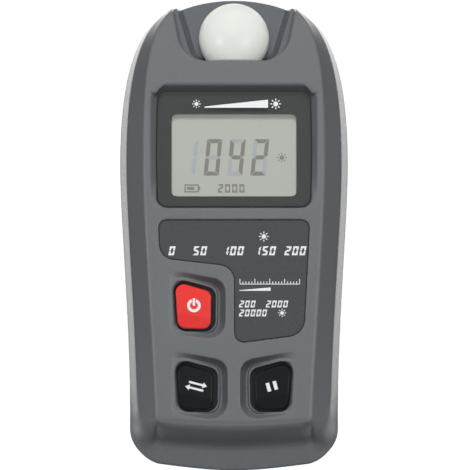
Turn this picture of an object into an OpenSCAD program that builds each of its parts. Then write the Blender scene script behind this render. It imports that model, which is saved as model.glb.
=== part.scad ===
// Hand-held digital light meter lying on its back: a two-piece housing with a
// white diffuser ball in a notch at the head, a tilted display window, a label
// film, three keys in tilted scoops and a sliding battery door.
// X is to the right, Y toward the head, Z out of the display, rear face on Z = 0.

/* [Body] */
// Overall width at the hips
body_w = 54.6; // [53:0.2:60]
// Overall length from the foot to the end of the head
body_l = 113.4; // [112:0.2:122]
// Thickness where the front face is highest
body_t = 26.5; // [26:0.25:30]
// Width across the foot
foot_w = 49.7; // [48:0.1:52]
// Width across the round end of the head
head_w = 30.8; // [29.6:0.2:33]
// Rise of the round end of the head
head_rise = 3.4; // [2.6:0.1:4]
// Where the body is widest, above the middle
hip_y = 16.5; // [12:0.5:20]
// Height of the joint between the two shells
split_z = 13; // [12:0.25:14]
// Thickness of the shell walls
wall = 2; // [1.6:0.1:2.2]
// How far the flat of the back lies in from the outline
back_inset = 4.2; // [3:0.1:5]

/* [Front face] */
// Width of the flat front face at the hips
face_w = 41.6; // [40.5:0.1:43]
// Width of the flat front face at the foot
face_foot_w = 36.4; // [35.5:0.1:38]
// Where the front face is highest, above the middle
crown_y = 22; // [16:0.5:30]
// Fall of the front face from there to the foot
face_fall = 2.6; // [1.8:0.1:3]
// Length of the sloping toe below the front face
toe_l = 11; // [10:0.1:11.5]

/* [Head and ball] */
// Diameter of the diffuser ball
ball_d = 17; // [16:0.1:18]
// Centre of the ball below the end of the head
ball_drop = 10; // [9.6:0.1:10.4]
// Height of the ball's centre above the back
ball_z = 14.4; // [14:0.1:15]
// Wall thickness of the ball
ball_wall = 1.2; // [0.8:0.1:1.6]
// Diameter of the ball's neck
neck_d = 10; // [9.6:0.1:10.6]
// Width of the rear shell's notch at its floor
notch_w = 19.8; // [19:0.1:20.6]
// Depth of the rear shell's notch from the end of the head
notch_l = 15.3; // [14.9:0.1:15.7]
// Slope of the rear shell's notch sides
notch_angle = 17; // [14:0.5:18]
// Corner radius in the rear shell's notch
notch_r = 3.5; // [2.5:0.1:5]
// Wall left behind the ball
notch_back = 4.4; // [3.6:0.1:5]
// Width of the front shell's notch at its floor
mouth_w = 24.3; // [23.6:0.1:25]
// Depth of the front shell's notch from the end of the head
mouth_l = 16.2; // [16:0.1:16.6]
// Slope of the front shell's notch sides
mouth_angle = 11; // [8:0.5:12]
// Corner radius in the front shell's notch
mouth_r = 7; // [5:0.1:8]

/* [Display] */
// Width of the window pane
lens_w = 36.9; // [36:0.1:37.6]
// Height of the window pane
lens_h = 27.5; // [26.5:0.1:28.5]
// Thickness of the window pane
lens_t = 1.2; // [1:0.05:1.5]
// Corner radius of the pane
lens_r = 2.4; // [1.5:0.1:3]
// Top edge of the pane below the end of the head
lens_drop = 23.1; // [22.6:0.1:23.6]
// Tilt of the pane toward the head
lens_tilt = 2.3; // [1.5:0.1:2.8]
// Width of the clear opening in the pane's printed border
view_w = 29.4; // [27:0.1:30]
// Height of the clear opening
view_h = 19.5; // [18:0.1:20]
// Clear opening's centre below the pane's centre
view_shift = 1.4; // [1:0.1:2]
// Thickness of the display panel
panel_t = 2.1; // [1.6:0.1:2.4]

/* [Label] */
// Thickness of the label film
label_t = 0.3; // [0.2:0.05:0.4]
// Width of the film at the top
label_w = 35.2; // [34:0.1:36]
// Space between the pane and the film
label_gap = 3.1; // [2.6:0.1:4]
// Height of the film's wide upper part on the left
label_band = 8.6; // [7.6:0.1:9]
// Length of the whole film
label_l = 29; // [27:0.1:29.8]

/* [Keys] */
// Width of a key
key_w = 8.6; // [7.8:0.1:9]
// Length of a key
key_l = 11.3; // [10.4:0.1:11.6]
// Fall of a key's top edge across its width
key_slant = 2.5; // [1.5:0.1:3]
// Key corner radius
key_r = 1.5; // [0.8:0.1:1.8]
// Gap around a key in its hole
key_gap = 0.3; // [0.25:0.05:0.4]
// Travel of a key
key_travel = 0.5; // [0.3:0.05:0.5]
// Height of a key above its scoop
key_rise = 1; // [0.7:0.1:1.4]
// Depth of a scoop at its deep side
scoop_depth = 1.3; // [0.9:0.1:1.5]
// Power key's distance left of the middle
power_x = 9.6; // [9:0.1:10]
// Power key's centre above the foot end
power_up = 39.75; // [39.4:0.1:40.2]
// Distance of the two lower keys from the middle
pair_x = 9.1; // [8.9:0.1:9.4]
// Lower keys' centres above the foot end
pair_up = 20.75; // [20.2:0.1:21]

/* [Batteries] */
// Diameter of a cell
cell_d = 10.5; // [10:0.1:10.5]
// Length of a cell with its button
cell_l = 44.5; // [43:0.1:45]
// Distance between the two cells' axes
cell_pitch = 11.4; // [11:0.1:13]
// Length of a contact spring in place
spring_l = 4.4; // [3.6:0.1:5]
// Turns of a contact spring
spring_turns = 4; // [3:1:5]
// Inner end of the battery bay above the foot end
bay_up = 10.5; // [10:0.1:11.5]
// Thickness of the battery door
door_t = 1.8; // [1.6:0.1:2]
// Width of the battery door
door_w = 29; // [28:0.5:31]

/* [Inside] */
// Width of the main board
board_w = 34.4; // [33.6:0.1:35]
// Thickness of the boards
board_t = 1.6; // [1.2:0.1:1.6]
// Space between battery bay and main board
board_gap = 1.3; // [1.2:0.1:1.5]
// Height of a key switch body
switch_h = 3.4; // [3:0.1:3.4]
// Housing screw shank diameter
screw_d = 2.6; // [2.4:0.1:3]
// Board screw shank diameter
board_screw_d = 1.9; // [1.6:0.1:2]
// Length of the housing screws under their heads
screw_l = 14.4; // [12:0.1:16]
// Height of the recess above a housing screw's head
screw_recess = 2; // [1.6:0.1:2.2]
// Width of the controller chip
chip_w = 10; // [7:0.1:12]
// Length of the clock crystal
crystal_l = 10.6; // [8:0.1:11.4]
// Width of the clock crystal
crystal_w = 4.4; // [3:0.1:4.8]
// Diameter of a capacitor
capacitor_d = 5; // [4:0.1:5.4]
// Height of a capacitor
capacitor_h = 4.2; // [3:0.1:4.4]
// Length of the photodiode's holder
holder_l = 6; // [5.4:0.1:6.6]

/* [Hidden] */
$fn = 48;
clear = 0.1;
rib = 1.4;
half_l = body_l / 2;
heel_y = 9.4 - half_l;

// Heights, from the back to the front
door_z = 0.1;
cell_z = door_z + door_t + 0.3 + cell_d / 2;
roof_z = cell_z + cell_d / 2 + 0.3;
roof_t = 1.2;
board_z = roof_z + roof_t + board_gap;
board_top = board_z + board_t;
switch_top = board_top + switch_h;
plunger_top = switch_top + key_travel + 0.2;

// Display
lens_y = half_l - lens_drop - lens_h / 2;
lens_z = face_z(lens_y - lens_h / 2) - 0.05 - lens_h / 2 * sin(lens_tilt);
mask_t = 0.15;
ledge_low = lens_z - lens_h / 2 * sin(lens_tilt) - lens_t - mask_t;
pad_z = ledge_low - 1.2;
view_y = lens_y - view_shift;
panel_w = view_w + 3;
panel_h = view_h + 4.6;
panel_z = pad_z - 0.3 - panel_t;
frame_w = panel_w + 1.6;
frame_h = panel_h + 1.6;
frame_foot = view_y - frame_h / 2;

// Label film
label_y = lens_y - lens_h / 2 - label_gap;
label_mid = label_y - label_l / 2;

// Keys
power_y = power_up - half_l;
pair_y = pair_up - half_l;
rim = 1.5;
scoop_tilt = asin(scoop_depth / (key_w + 2 * rim));
pad_rim = 2.6;
flange = 1.2;
flange_t = 0.8;
bevel = 0.8;

// Battery bay
plate_t = 0.4;
bay_y = bay_up - half_l;
bay_l = spring_l + cell_l + 2 * plate_t + 0.1;
bay_end = bay_y + bay_l;
bay_w = cell_pitch + cell_d + 0.6;
door_lip = 0.9;
door_end = bay_end + 1.5;

// Head
ball_y = half_l - ball_drop;
floor_y = half_l - notch_l;
ball_r = ball_d / 2;
neck_r = neck_d / 2;
seat_y = floor_y + clear;
notch_wall = 1.8;
mouth_y = half_l - mouth_l;
flange_y = mouth_y - notch_wall - 0.2;
neck_flange_t = 1.2;
neck_end = flange_y - neck_flange_t;
sensor_y = neck_end - 0.4;
sensor_w = 18;
neck_wall = 0.9;
holder_r = neck_r - neck_wall - clear;
holder_wall = 1;
diode_h = 0.4 * holder_l;
filter_y = sensor_y + 0.7 * holder_l;
filter_t = 1.1;
filter_r = holder_r - holder_wall / 2;

// Boards and bosses
board_head = sensor_y - board_t - 0.4;
board_foot = pair_y - key_l / 2 - 0.4;
waist_y = pair_y + key_l / 2 + 1;
pin_y = board_head - 0.9;
screw_boss_r = screw_d / 2 + 1.5;
screw_head_t = 1.6;
screw_tip = screw_recess + screw_head_t + screw_l;
board_boss_r = board_screw_d / 2 + 1.15;
board_head_t = 1.1;
board_grip = 4;
cross_w = 1.1 * screw_d;
slot_w = 0.6;
slot_depth = 0.9;
lower_screw_y = (power_y + pair_y) / 2;
upper_screw_y = frame_foot - board_boss_r - 0.4;
screws = [
    [body_w / 2 - 8.6, floor_y - 3.4],
    [foot_w / 2 - 6.4, heel_y + 2.6]
];
board_screws_at = [
    [board_w / 2 - 2.2, upper_screw_y],
    [board_w / 2 - 6, lower_screw_y]
];

// Pieces on the main board
chip_t = 1.2;
chip_y = (bay_end + board_head) / 2;
switch_w = 6;
plunger_d = 3.4;
capacitor_x = [3.5, 10];
capacitor_y = power_y + 3.45;
crystal_h = 3.4;
crystal_x = 6.2;
crystal_y = (capacitor_y + capacitor_d / 2 + frame_foot) / 2;
resistor = [1.6, 2.6, 0.6];
resistor_pitch = 2.6;
resistor_y = (power_y + switch_w / 2 + frame_foot) / 2;
pin_pitch = 2.54;
pin_hole_d = 1;
pin_w = 0.6;
pin_rise = 1.2;

front_shell();
rear_shell();
battery_door();
display_pane();
pane_border();
label_film();
lcd_panel();
lcd_reflector();
lcd_frame();
elastomer_strips();
main_board();
controller_chip();
clock_crystal();
capacitors();
chip_resistors();
switch_bodies();
power_plunger();
mode_plunger();
hold_plunger();
power_key();
mode_key();
hold_key();
diffuser_ball();
sensor_holder();
colour_filter();
photodiode();
sensor_board();
sensor_pins();
left_cell();
right_cell();
contact_springs();
bridge_plate();
terminal_plates();
housing_screws();
board_screws();

// Curves

function mix(a, b, t) = a + (b - a) * t;
function ease(t) = t * t * (3 - 2 * t);
function unit(v) = v / norm(v);

// Cubic curve from a to d without its end point, in n steps
function curve(a, b, c, d, n) = [
    for (i = [0:n - 1])
        let (t = i / n, s = 1 - t)
        s * s * s * a + 3 * s * s * t * b + 3 * s * t * t * c + t * t * t * d
];

// Round corner at b between the edges to a and c
function corner(a, b, c, r, n) =
    let (
        u = unit(a - b),
        v = unit(c - b),
        phi = acos(u * v),
        p = b + u * (r / tan(phi / 2)),
        q = b + v * (r / tan(phi / 2)),
        o = b + unit(u + v) * (r / sin(phi / 2)),
        start = atan2(p.y - o.y, p.x - o.x),
        turn = (180 - phi) * sign(cross(p - o, q - o))
    )
    [for (i = [0:n]) o + r * [cos(start + turn * i / n), sin(start + turn * i / n)]];

// Closed outline with a radius at each corner
function rounded(pts, radii, n = 6) =
    let (k = len(pts))
    [for (i = [0:k - 1]) each corner(pts[(i + k - 1) % k], pts[i], pts[(i + 1) % k], radii[i], n)];

// Outline moved outward by d
function grown(pts, d) =
    let (k = len(pts))
    [
        for (i = [0:k - 1])
            let (
                a = pts[(i + k - 1) % k],
                b = pts[i],
                c = pts[(i + 1) % k],
                u = unit(a - b),
                v = unit(c - b),
                side = cross(b - a, c - b) > 0 ? -1 : 1
            )
            b + side * unit(u + v) * (d / sin(acos(u * v) / 2))
    ];

// Height and slope of the front face along the body
function face_z(y) = body_t - face_fall * pow((crown_y - y) / (crown_y + half_l), 2);
function face_slope(y) = atan(2 * face_fall * (crown_y - y) / pow(crown_y + half_l, 2));

// Right half of the body outline from the foot to the end of the head, moved in by d
steps = [6, 8, 11, 11, 6];
function outline(d) =
    let (
        foot = [0, d - half_l],
        toe = [18 - 0.4 * d, 1.3 + d - half_l],
        heel = [foot_w / 2 - d, heel_y],
        hip = [body_w / 2 - d, hip_y],
        tip = [head_w / 2 - 0.5 * d, half_l - head_rise - 0.9 * d],
        end = [0, half_l - d]
    )
    concat(
        curve(foot, [6, foot.y], [12, foot.y + 0.2], toe, steps[0]),
        curve(toe, toe + [3.8, 0.85], heel - [0, 3.6], heel, steps[1]),
        curve(
            heel, [heel.x, mix(heel_y, hip_y, 0.42)],
            [hip.x, mix(heel_y, hip_y, 0.77)], hip, steps[2]
        ),
        curve(hip, [hip.x, mix(hip_y, tip.y, 0.92)], tip + [1.9, -2.5], tip, steps[3]),
        curve(tip, [0.69 * tip.x, mix(tip.y, end.y, 0.69)], [0.35 * tip.x, end.y], end, steps[4]),
        [end]
    );

// Right half of the front face's edge, moved in by d
function face_edge(d) =
    let (
        low = toe_l + d - half_l,
        foot = [0, low],
        toe = [face_foot_w / 2 - 2.6 - d, low + 0.9],
        heel = [face_foot_w / 2 - d, low + 3.6],
        hip = [face_w / 2 - d, hip_y],
        tip = [head_w / 2 - 0.6 - 0.5 * d, half_l - head_rise - 1.9 - 0.9 * d],
        end = [0, half_l - 1.9 - d]
    )
    concat(
        curve(foot, [toe.x / 3, low], [toe.x * 2 / 3, low + 0.4], toe, steps[0]),
        curve(toe, toe + [1.4, 0.12], heel - [0, 1.4], heel, steps[1]),
        curve(heel, heel + [0.8, 16], [hip.x, hip_y - 22], hip, steps[2]),
        curve(hip, [hip.x, hip_y + 21], tip + [5.7, -4.8], tip, steps[3]),
        curve(tip, [0.69 * tip.x, mix(tip.y, end.y, 0.69)], [0.35 * tip.x, end.y], end, steps[4]),
        [end]
    );

// How far each outline point takes the toe's profile rather than the flank's
toe_share = concat(
    [for (i = [1:steps[0]]) 1],
    [for (i = [0:steps[1] - 1]) 1 - ease(i / steps[1])],
    [for (i = [0:steps[2] + steps[3] + steps[4]]) 0]
);

// Share of the way in and of the way up, along the flank and along the toe
flank = [[0, 0], [0.03, 0.22], [0.1, 0.38], [0.22, 0.5], [0.78, 0.93], [0.9, 0.985], [1, 1]];
toe = [[0, 0], [0.02, 0.14], [0.06, 0.24], [0.14, 0.31], [0.6, 0.49], [0.88, 0.94], [1, 1]];

// Full ring from a right half
function ring(half) = concat(
    half,
    [for (i = [len(half) - 2:-1:1]) [-half[i].x, half[i].y, half[i].z]]
);

function front_ring(d, level) =
    let (low = outline(d), high = face_edge(d))
    ring([
        for (i = [0:len(low) - 1])
            let (
                s = mix(flank[level], toe[level], toe_share[i]),
                p = mix(low[i], high[i], s.x)
            )
            [p.x, p.y, mix(split_z, face_z(high[i].y) - d, s.y)]
    ]);

function flat_ring(d, z) = ring([for (p = outline(d)) [p.x, p.y, z]]);

// Solid through rings of equal length, from the lowest up
module loft(rings) {
    n = len(rings[0]);
    m = n / 2;
    top = (len(rings) - 1) * n;
    sides = [
        for (k = [0:len(rings) - 2], i = [0:n - 1])
            let (a = k * n + i, b = k * n + (i + 1) % n)
            each [[a, a + n, b + n], [a, b + n, b]]
    ];
    caps = [
        for (i = [0:m - 1])
            let (l = (n - i) % n, k = n - i - 1)
            each concat(
                i < m - 1 ? [[i, i + 1, k], [top + k, top + i + 1, top + i]] : [],
                i > 0 ? [[i, k, l], [top + l, top + k, top + i]] : []
            )
    ];
    polyhedron([for (r = rings) each r], concat(sides, caps));
}

// Solid between two outlines with the same number of points
module frustum(low, high) {
    n = len(low);
    polyhedron(
        concat(low, high),
        concat(
            [[for (i = [0:n - 1]) i], [for (i = [n - 1:-1:0]) n + i]],
            [
                for (i = [0:n - 1])
                    let (k = (i + 1) % n)
                    each [[i, n + i, n + k], [i, n + k, k]]
            ]
        )
    );
}

function at_height(pts, z) = [for (p = pts) [p.x, p.y, z]];

module front_outside() {
    loft([for (k = [0:len(flank) - 1]) front_ring(0, k)]);
}

module front_inside() {
    loft(concat([flat_ring(wall, split_z - 1)], [for (k = [0:len(flank) - 1]) front_ring(wall, k)]));
}

module rear_outside() {
    loft([
        flat_ring(back_inset, 0),
        flat_ring(back_inset / 2, 0.6),
        flat_ring(back_inset / 5, 1.9),
        flat_ring(0.15, 4),
        flat_ring(0, split_z)
    ]);
}

module rear_inside() {
    loft([
        flat_ring(wall + 2.4, wall),
        flat_ring(wall + 0.7, wall + 1.6),
        flat_ring(wall, split_z - 5),
        flat_ring(wall, split_z + 1)
    ]);
}

// Places

// Lies on the front face where its height is that at y
module on_slope(y) {
    translate([0, 0, face_z(y)])
        rotate([face_slope(y), 0, 0])
            children();
}

module on_pane() {
    translate([0, lens_y, lens_z])
        rotate([-lens_tilt, 0, 0])
            children();
}

module on_label() {
    translate([0, label_mid, 0])
        on_slope(label_mid)
            translate([0, label_l / 2, -0.05])
                children();
}

module at_power() {
    translate([-power_x, power_y, 0])
        children();
}

module at_mode() {
    translate([-pair_x, pair_y, 0])
        children();
}

module at_hold() {
    translate([pair_x, pair_y, 0])
        mirror([1, 0, 0])
            children();
}

module at_four(places) {
    for (p = places, side = [-1, 1])
        translate([side * p.x, p.y, 0])
            children();
}

// Head axis: local Z runs along the body toward the head, local Y to the back
module along_y(z) {
    translate([0, 0, z])
        rotate([-90, 0, 0])
            children();
}

// Outlines

function rectangle(w, h) = [[-w / 2, -h / 2], [w / 2, -h / 2], [w / 2, h / 2], [-w / 2, h / 2]];

// Pane outline with slightly bulged sides
function pane(d) =
    let (x = lens_w / 2 + d, y = lens_h / 2 + d, in = x - 0.35)
    rounded(
        [[-in, -y], [in, -y], [x, 0], [in, y], [-in, y], [-x, 0]],
        [lens_r + d, lens_r + d, 200, lens_r + d, lens_r + d, 200]
    );

// Label film outline from its top middle
function label(d) = rounded(
    grown(
        [
            [label_w / 2, 0],
            [-label_w / 2, 0],
            [0.4 - label_w / 2, -label_band],
            [0.3, 2 - label_band - 4],
            [0.3, 0.3 - label_l],
            [label_w / 2 - 1.3, 2.4 - label_l]
        ],
        d
    ),
    [1.75, 1.75, 3.4, 4, 2, 4]
);

// Left-hand key outline
key_quad = [
    [-key_w / 2, key_l / 2],
    [0.7 - key_w / 2, 0.2 - key_l / 2],
    [key_w / 2 - 0.15, -key_l / 2],
    [key_w / 2, key_l / 2 - key_slant]
];
function key_outline(d) = rounded(grown(key_quad, d), [for (i = [0:3]) key_r + d]);

// Outer edge of a left-hand scoop
scoop_quad = [
    [-key_w / 2 - 0.8, key_l / 2 + 2.7],
    [-key_w / 2 - 0.8, -key_l / 2 - 0.6],
    [key_w / 2 + 3.2, -key_l / 2 - 2.1],
    [key_w / 2 + 3.2, key_l / 2 + 0.5]
];

// Notch outline open toward the head: width at its floor, floor, slope and corner radius
function notch(w, low, angle, r) =
    let (
        x = w / 2,
        high = half_l + 6,
        reach = x + (high - low) * tan(angle)
    )
    concat(
        [[-reach, high]],
        corner([-reach, high], [-x, low], [x, low], r, 6),
        corner([-x, low], [x, low], [reach, high], r, 6),
        [[reach, high]]
    );
function rear_notch(d) = notch(notch_w + 2 * d, floor_y - d, notch_angle, notch_r + d);
function front_notch(d) = notch(mouth_w + 2 * d, mouth_y - d, mouth_angle, mouth_r + d);

// Key parts, in the frame of their key

function pad_low(y) = face_z(y) - scoop_depth - 1.5;
function flange_top(y) = pad_low(y) - clear;

// Points on the scoop's sloping floor, raised by z
function scoop_floor(pts, z) = [for (p = pts) [p.x, p.y, z - scoop_depth / 2 - p.x * tan(scoop_tilt)]];

module scoop_cut(y) {
    on_slope(y) {
        frustum(
            scoop_floor(key_outline(rim), 0),
            at_height(rounded(grown(scoop_quad, 2.4), [3, 3, 5, 6]), 2)
        );
        frustum(
            scoop_floor(key_outline(key_gap - 0.4), -bevel - 0.4),
            scoop_floor(key_outline(key_gap + bevel + 0.4), 0.4)
        );
    }
    translate([0, 0, pad_low(y) - 1])
        linear_extrude(6)
            polygon(key_outline(key_gap));
}

// Room that the film leaves around a key
module key_clearance() {
    linear_extrude(body_t + 1)
        polygon(key_outline(rim));
}

module key_pad(y) {
    translate([0, 0, pad_low(y)])
        linear_extrude(6)
            polygon(key_outline(pad_rim));
}

module key(y) {
    difference() {
        union() {
            translate([0, 0, flange_top(y) - clear])
                linear_extrude(face_z(y) + 2 - flange_top(y))
                    polygon(key_outline(0));
            translate([0, 0, flange_top(y) - flange_t])
                linear_extrude(flange_t)
                    polygon(key_outline(flange));
            translate([0, 0, plunger_top])
                cylinder(h = flange_top(y) - flange_t / 2 - plunger_top, d = 4.4);
        }
        on_slope(y)
            rotate([0, scoop_tilt, 0])
                translate([0, 0, key_rise - scoop_depth / 2]) {
                    translate([-key_w, -key_l, 0])
                        cube([2 * key_w, 2 * key_l, 6]);
                    translate([0, -0.2 * key_l, 0])
                        rotate([5, 0, -12])
                            translate([-key_w, -key_l, 0])
                                cube([2 * key_w, key_l, 6]);
                }
    }
}

module plunger() {
    translate([0, 0, board_top + 1])
        cylinder(h = plunger_top - board_top - 1, d = plunger_d);
}

// Shells

module front_hollow() {
    difference() {
        front_inside();
        translate([0, 0, split_z - 2])
            linear_extrude(body_t)
                polygon(front_notch(notch_wall));
        translate([-lens_w / 2 - 1.4, lens_y - lens_h / 2 - 1.4, pad_z])
            cube([lens_w + 2.8, lens_h + 2.8, 8]);
        at_power()
            key_pad(power_y);
        at_mode()
            key_pad(pair_y);
        at_hold()
            key_pad(pair_y);
        at_four(screws)
            translate([0, 0, split_z])
                cylinder(h = 12, r = screw_boss_r);
        at_four(board_screws_at)
            translate([0, 0, board_top])
                cylinder(h = 12, r = board_boss_r);
    }
}

module front_shell() {
    color("#6f7376")
        difference() {
            front_outside();
            front_hollow();
            frustum(at_height(front_notch(-0.4), split_z - 1), at_height(front_notch(0), body_t + 1));
            on_pane()
                translate([0, 0, -lens_t - mask_t])
                    linear_extrude(2)
                        polygon(pane(0.12));
            on_pane()
                frustum(
                    at_height(pane(0.05), -0.6),
                    [for (p = pane(0.05)) [p.x + sign(p.x) * 4, p.y + 2 + 4 * p.y / lens_h, 3]]
                );
            translate([-view_w / 2 - 0.7, view_y - view_h / 2 - 0.7, pad_z - 1])
                cube([view_w + 1.4, view_h + 1.4, 8]);
            on_label()
                translate([0, 0, -label_t])
                    linear_extrude(3)
                        polygon(label(0.1));
            at_power()
                scoop_cut(power_y);
            at_mode()
                scoop_cut(pair_y);
            at_hold()
                scoop_cut(pair_y);
            at_four(screws)
                translate([0, 0, split_z - 1])
                    cylinder(h = screw_tip + 2 * clear - split_z + 1, d = screw_d + clear);
            at_four(board_screws_at)
                translate([0, 0, board_top - 1])
                    cylinder(h = 1 + board_grip + 2 * clear, d = board_screw_d + clear);
            along_y(ball_z)
                translate([0, 0, neck_end - 1])
                    cylinder(h = floor_y + 2 - neck_end, r = neck_r + clear);
        }
}

module bay_slot(extra) {
    rotate([90, 0, 0])
        linear_extrude(door_end + half_l + 3)
            polygon([
                [-door_w / 2 - extra, -1],
                [door_w / 2 + extra, -1],
                [door_w / 2 + extra, door_z + door_t - 1 - extra],
                [door_w / 2 + door_lip + extra, door_z + door_t - 1 - extra],
                [door_w / 2 + door_lip + extra, door_z + door_t + extra],
                [-door_w / 2 - door_lip - extra, door_z + door_t + extra],
                [-door_w / 2 - door_lip - extra, door_z + door_t - 1 - extra],
                [-door_w / 2 - extra, door_z + door_t - 1 - extra]
            ]);
}

module rear_shell() {
    floor_z = door_z + door_t + 1.2;
    block_w = door_w + 2 * door_lip + 3.2;
    color("#666a6d")
        difference() {
            union() {
                difference() {
                    rear_outside();
                    rear_inside();
                }
                intersection() {
                    rear_outside();
                    union() {
                        linear_extrude(split_z)
                            polygon(rear_notch(notch_wall));
                        at_four(screws)
                            cylinder(h = split_z, r = screw_d / 2 + 1.9);
                        translate([-block_w / 2, -half_l, 0])
                            cube([block_w, door_end + half_l + 2.6, floor_z]);
                    }
                }
                translate([-bay_w / 2 - rib, bay_y - rib, 0.5])
                    cube([bay_w + 2 * rib, bay_l + 2 * rib, roof_z + roof_t - 0.5]);
                for (side = [-1, 1])
                    translate([side * sensor_w / 2 - 1.8, sensor_y - board_t - 1.5, 1])
                        cube([3.6, board_t + 3, split_z - 1.6]);
            }
            translate([-bay_w / 2, bay_y, -1])
                cube([bay_w, bay_l, roof_z + 1]);
            translate([0, door_end, 0])
                bay_slot(clear);
            translate([-door_w / 2 + 4, door_end - 1, door_z + door_t - 1 - clear])
                cube([door_w - 8, 3, 1 + 2 * clear]);
            translate([0, 0, notch_back])
                linear_extrude(split_z)
                    polygon(rear_notch(0));
            along_y(ball_z)
                translate([0, 0, neck_end - 1])
                    cylinder(h = floor_y + 2 - neck_end, r = neck_r + clear);
            at_four(screws) {
                translate([0, 0, -1])
                    cylinder(h = split_z + 2, d = screw_d + 3 * clear);
                translate([0, 0, -1])
                    cylinder(h = 1 + screw_recess + screw_head_t, d = 2 * screw_d + 4 * clear);
            }
            for (x = [-cell_pitch / 2, cell_pitch / 2])
                translate([x - 1.3, bay_end - plate_t - 0.2, roof_z - 1])
                    cube([2.6, plate_t + 0.4, roof_t + 2]);
            translate([-sensor_w / 2 - clear, sensor_y - board_t - clear, 4 - clear])
                cube([sensor_w + 2 * clear, board_t + 2 * clear, split_z]);
        }
}

module battery_door() {
    color("#606467")
        difference() {
            union() {
                intersection() {
                    rear_outside();
                    difference() {
                        translate([0, door_end - clear, 0])
                            bay_slot(0);
                        translate([-body_w, -body_l, -2])
                            cube([2 * body_w, 2 * body_l, 2 + door_z]);
                    }
                }
                translate([-door_w / 2 + 4.2, door_end - 1, door_z + door_t - 1])
                    cube([door_w - 8.4, 2.6, 1]);
            }
            for (i = [0:5])
                translate([-6, bay_y + 2 + 1.6 * i, -1])
                    cube([12, 0.8, 1 + door_z + 0.4]);
        }
}

// Display parts

module display_pane() {
    color("#3c3f42")
        on_pane()
            translate([0, 0, -lens_t])
                linear_extrude(lens_t)
                    polygon(pane(0));
}

module pane_border() {
    color("#4b4c4d")
        on_pane()
            translate([0, 0, -lens_t - mask_t])
                linear_extrude(mask_t)
                    difference() {
                        polygon(pane(-0.1));
                        translate([0, -view_shift])
                            polygon(rounded(rectangle(view_w, view_h), [1, 1, 1, 1]));
                    }
}

module label_film() {
    color("#505255")
        difference() {
            on_label()
                translate([0, 0, -label_t])
                    linear_extrude(label_t)
                        polygon(label(0));
            at_power()
                key_clearance();
            at_mode()
                key_clearance();
            at_hold()
                key_clearance();
        }
}

module lcd_panel() {
    color("#b6bab3")
        translate([-panel_w / 2, view_y - panel_h / 2, panel_z])
            cube([panel_w, panel_h, panel_t]);
}

module lcd_reflector() {
    color("#d8dad6")
        translate([-view_w / 2, view_y - panel_h / 2 + 3.4, panel_z - 0.25])
            cube([view_w, panel_h - 5.4, 0.25]);
}

module lcd_frame() {
    color("#e2e3df")
        difference() {
            translate([-frame_w / 2, view_y - frame_h / 2, board_top])
                cube([frame_w, frame_h, panel_z + panel_t + 0.15 - board_top]);
            translate([-panel_w / 2 - clear, view_y - panel_h / 2 - clear, panel_z])
                cube([panel_w + 2 * clear, panel_h + 2 * clear, panel_t + 1]);
            translate([-view_w / 2 - clear, view_y - panel_h / 2 + 0.5, board_top - 1])
                cube([view_w + 2 * clear, panel_h - 2.4, panel_z]);
        }
}

module elastomer_strips() {
    color("#c98aa0")
        for (i = [0:1])
            translate([-view_w / 2 + 0.4, view_y - panel_h / 2 + 0.6 + 1.3 * i, board_top])
                cube([view_w - 0.8, 1.2, panel_z - board_top]);
}

// Main board and what it carries

module main_board() {
    color("#2f6b46")
        difference() {
            union() {
                translate([-board_w / 2, waist_y, board_z])
                    cube([board_w, board_head - waist_y, board_t]);
                translate([4 - board_w / 2, board_foot, board_z])
                    cube([board_w - 8, waist_y - board_foot + 1, board_t]);
            }
            at_four(board_screws_at)
                translate([0, 0, board_z - 1])
                    cylinder(h = board_t + 2, d = board_screw_d + 0.4);
            for (x = [-cell_pitch / 2, cell_pitch / 2])
                translate([x - 1.2, bay_end - plate_t - clear, board_z - 1])
                    cube([2.4, plate_t + 2 * clear, board_t + 2]);
            for (i = [-1:1])
                translate([pin_pitch * i, pin_y, board_z - 1])
                    cylinder(h = board_t + 2, d = pin_hole_d);
        }
}

module controller_chip() {
    color("#26282a")
        translate([-chip_w / 2, chip_y - chip_w / 2, board_z - chip_t])
            cube([chip_w, chip_w, chip_t]);
}

module clock_crystal() {
    color("#b9bcbe")
        translate([crystal_x, crystal_y, board_top])
            linear_extrude(crystal_h)
                polygon(rounded(rectangle(crystal_l, crystal_w), [for (i = [0:3]) 0.45 * crystal_w]));
}

module capacitors() {
    color("#33475c")
        for (x = capacitor_x)
            translate([x, capacitor_y, board_top])
                cylinder(h = capacitor_h, d = capacitor_d);
}

module chip_resistors() {
    color("#1f2022")
        for (i = [0:4])
            translate([resistor_pitch * (i - 4) - resistor.x, resistor_y - resistor.y / 2, board_top])
                cube(resistor);
}

module switch_bodies() {
    color("#2a2b2d") {
        at_power()
            switch_body();
        at_mode()
            switch_body();
        at_hold()
            switch_body();
    }
}

module switch_body() {
    difference() {
        translate([-switch_w / 2, -switch_w / 2, board_top])
            cube([switch_w, switch_w, switch_h]);
        translate([0, 0, board_top + 0.4])
            cylinder(h = switch_h, d = plunger_d + 2 * clear);
    }
}

module power_plunger() {
    color("#8f3b34")
        at_power()
            plunger();
}

module mode_plunger() {
    color("#8f3b34")
        at_mode()
            plunger();
}

module hold_plunger() {
    color("#8f3b34")
        at_hold()
            plunger();
}

module power_key() {
    color("#e84a47")
        at_power()
            key(power_y);
}

module mode_key() {
    color("#232425")
        at_mode()
            key(pair_y);
}

module hold_key() {
    color("#232425")
        at_hold()
            key(pair_y);
}

// Sensor head

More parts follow.
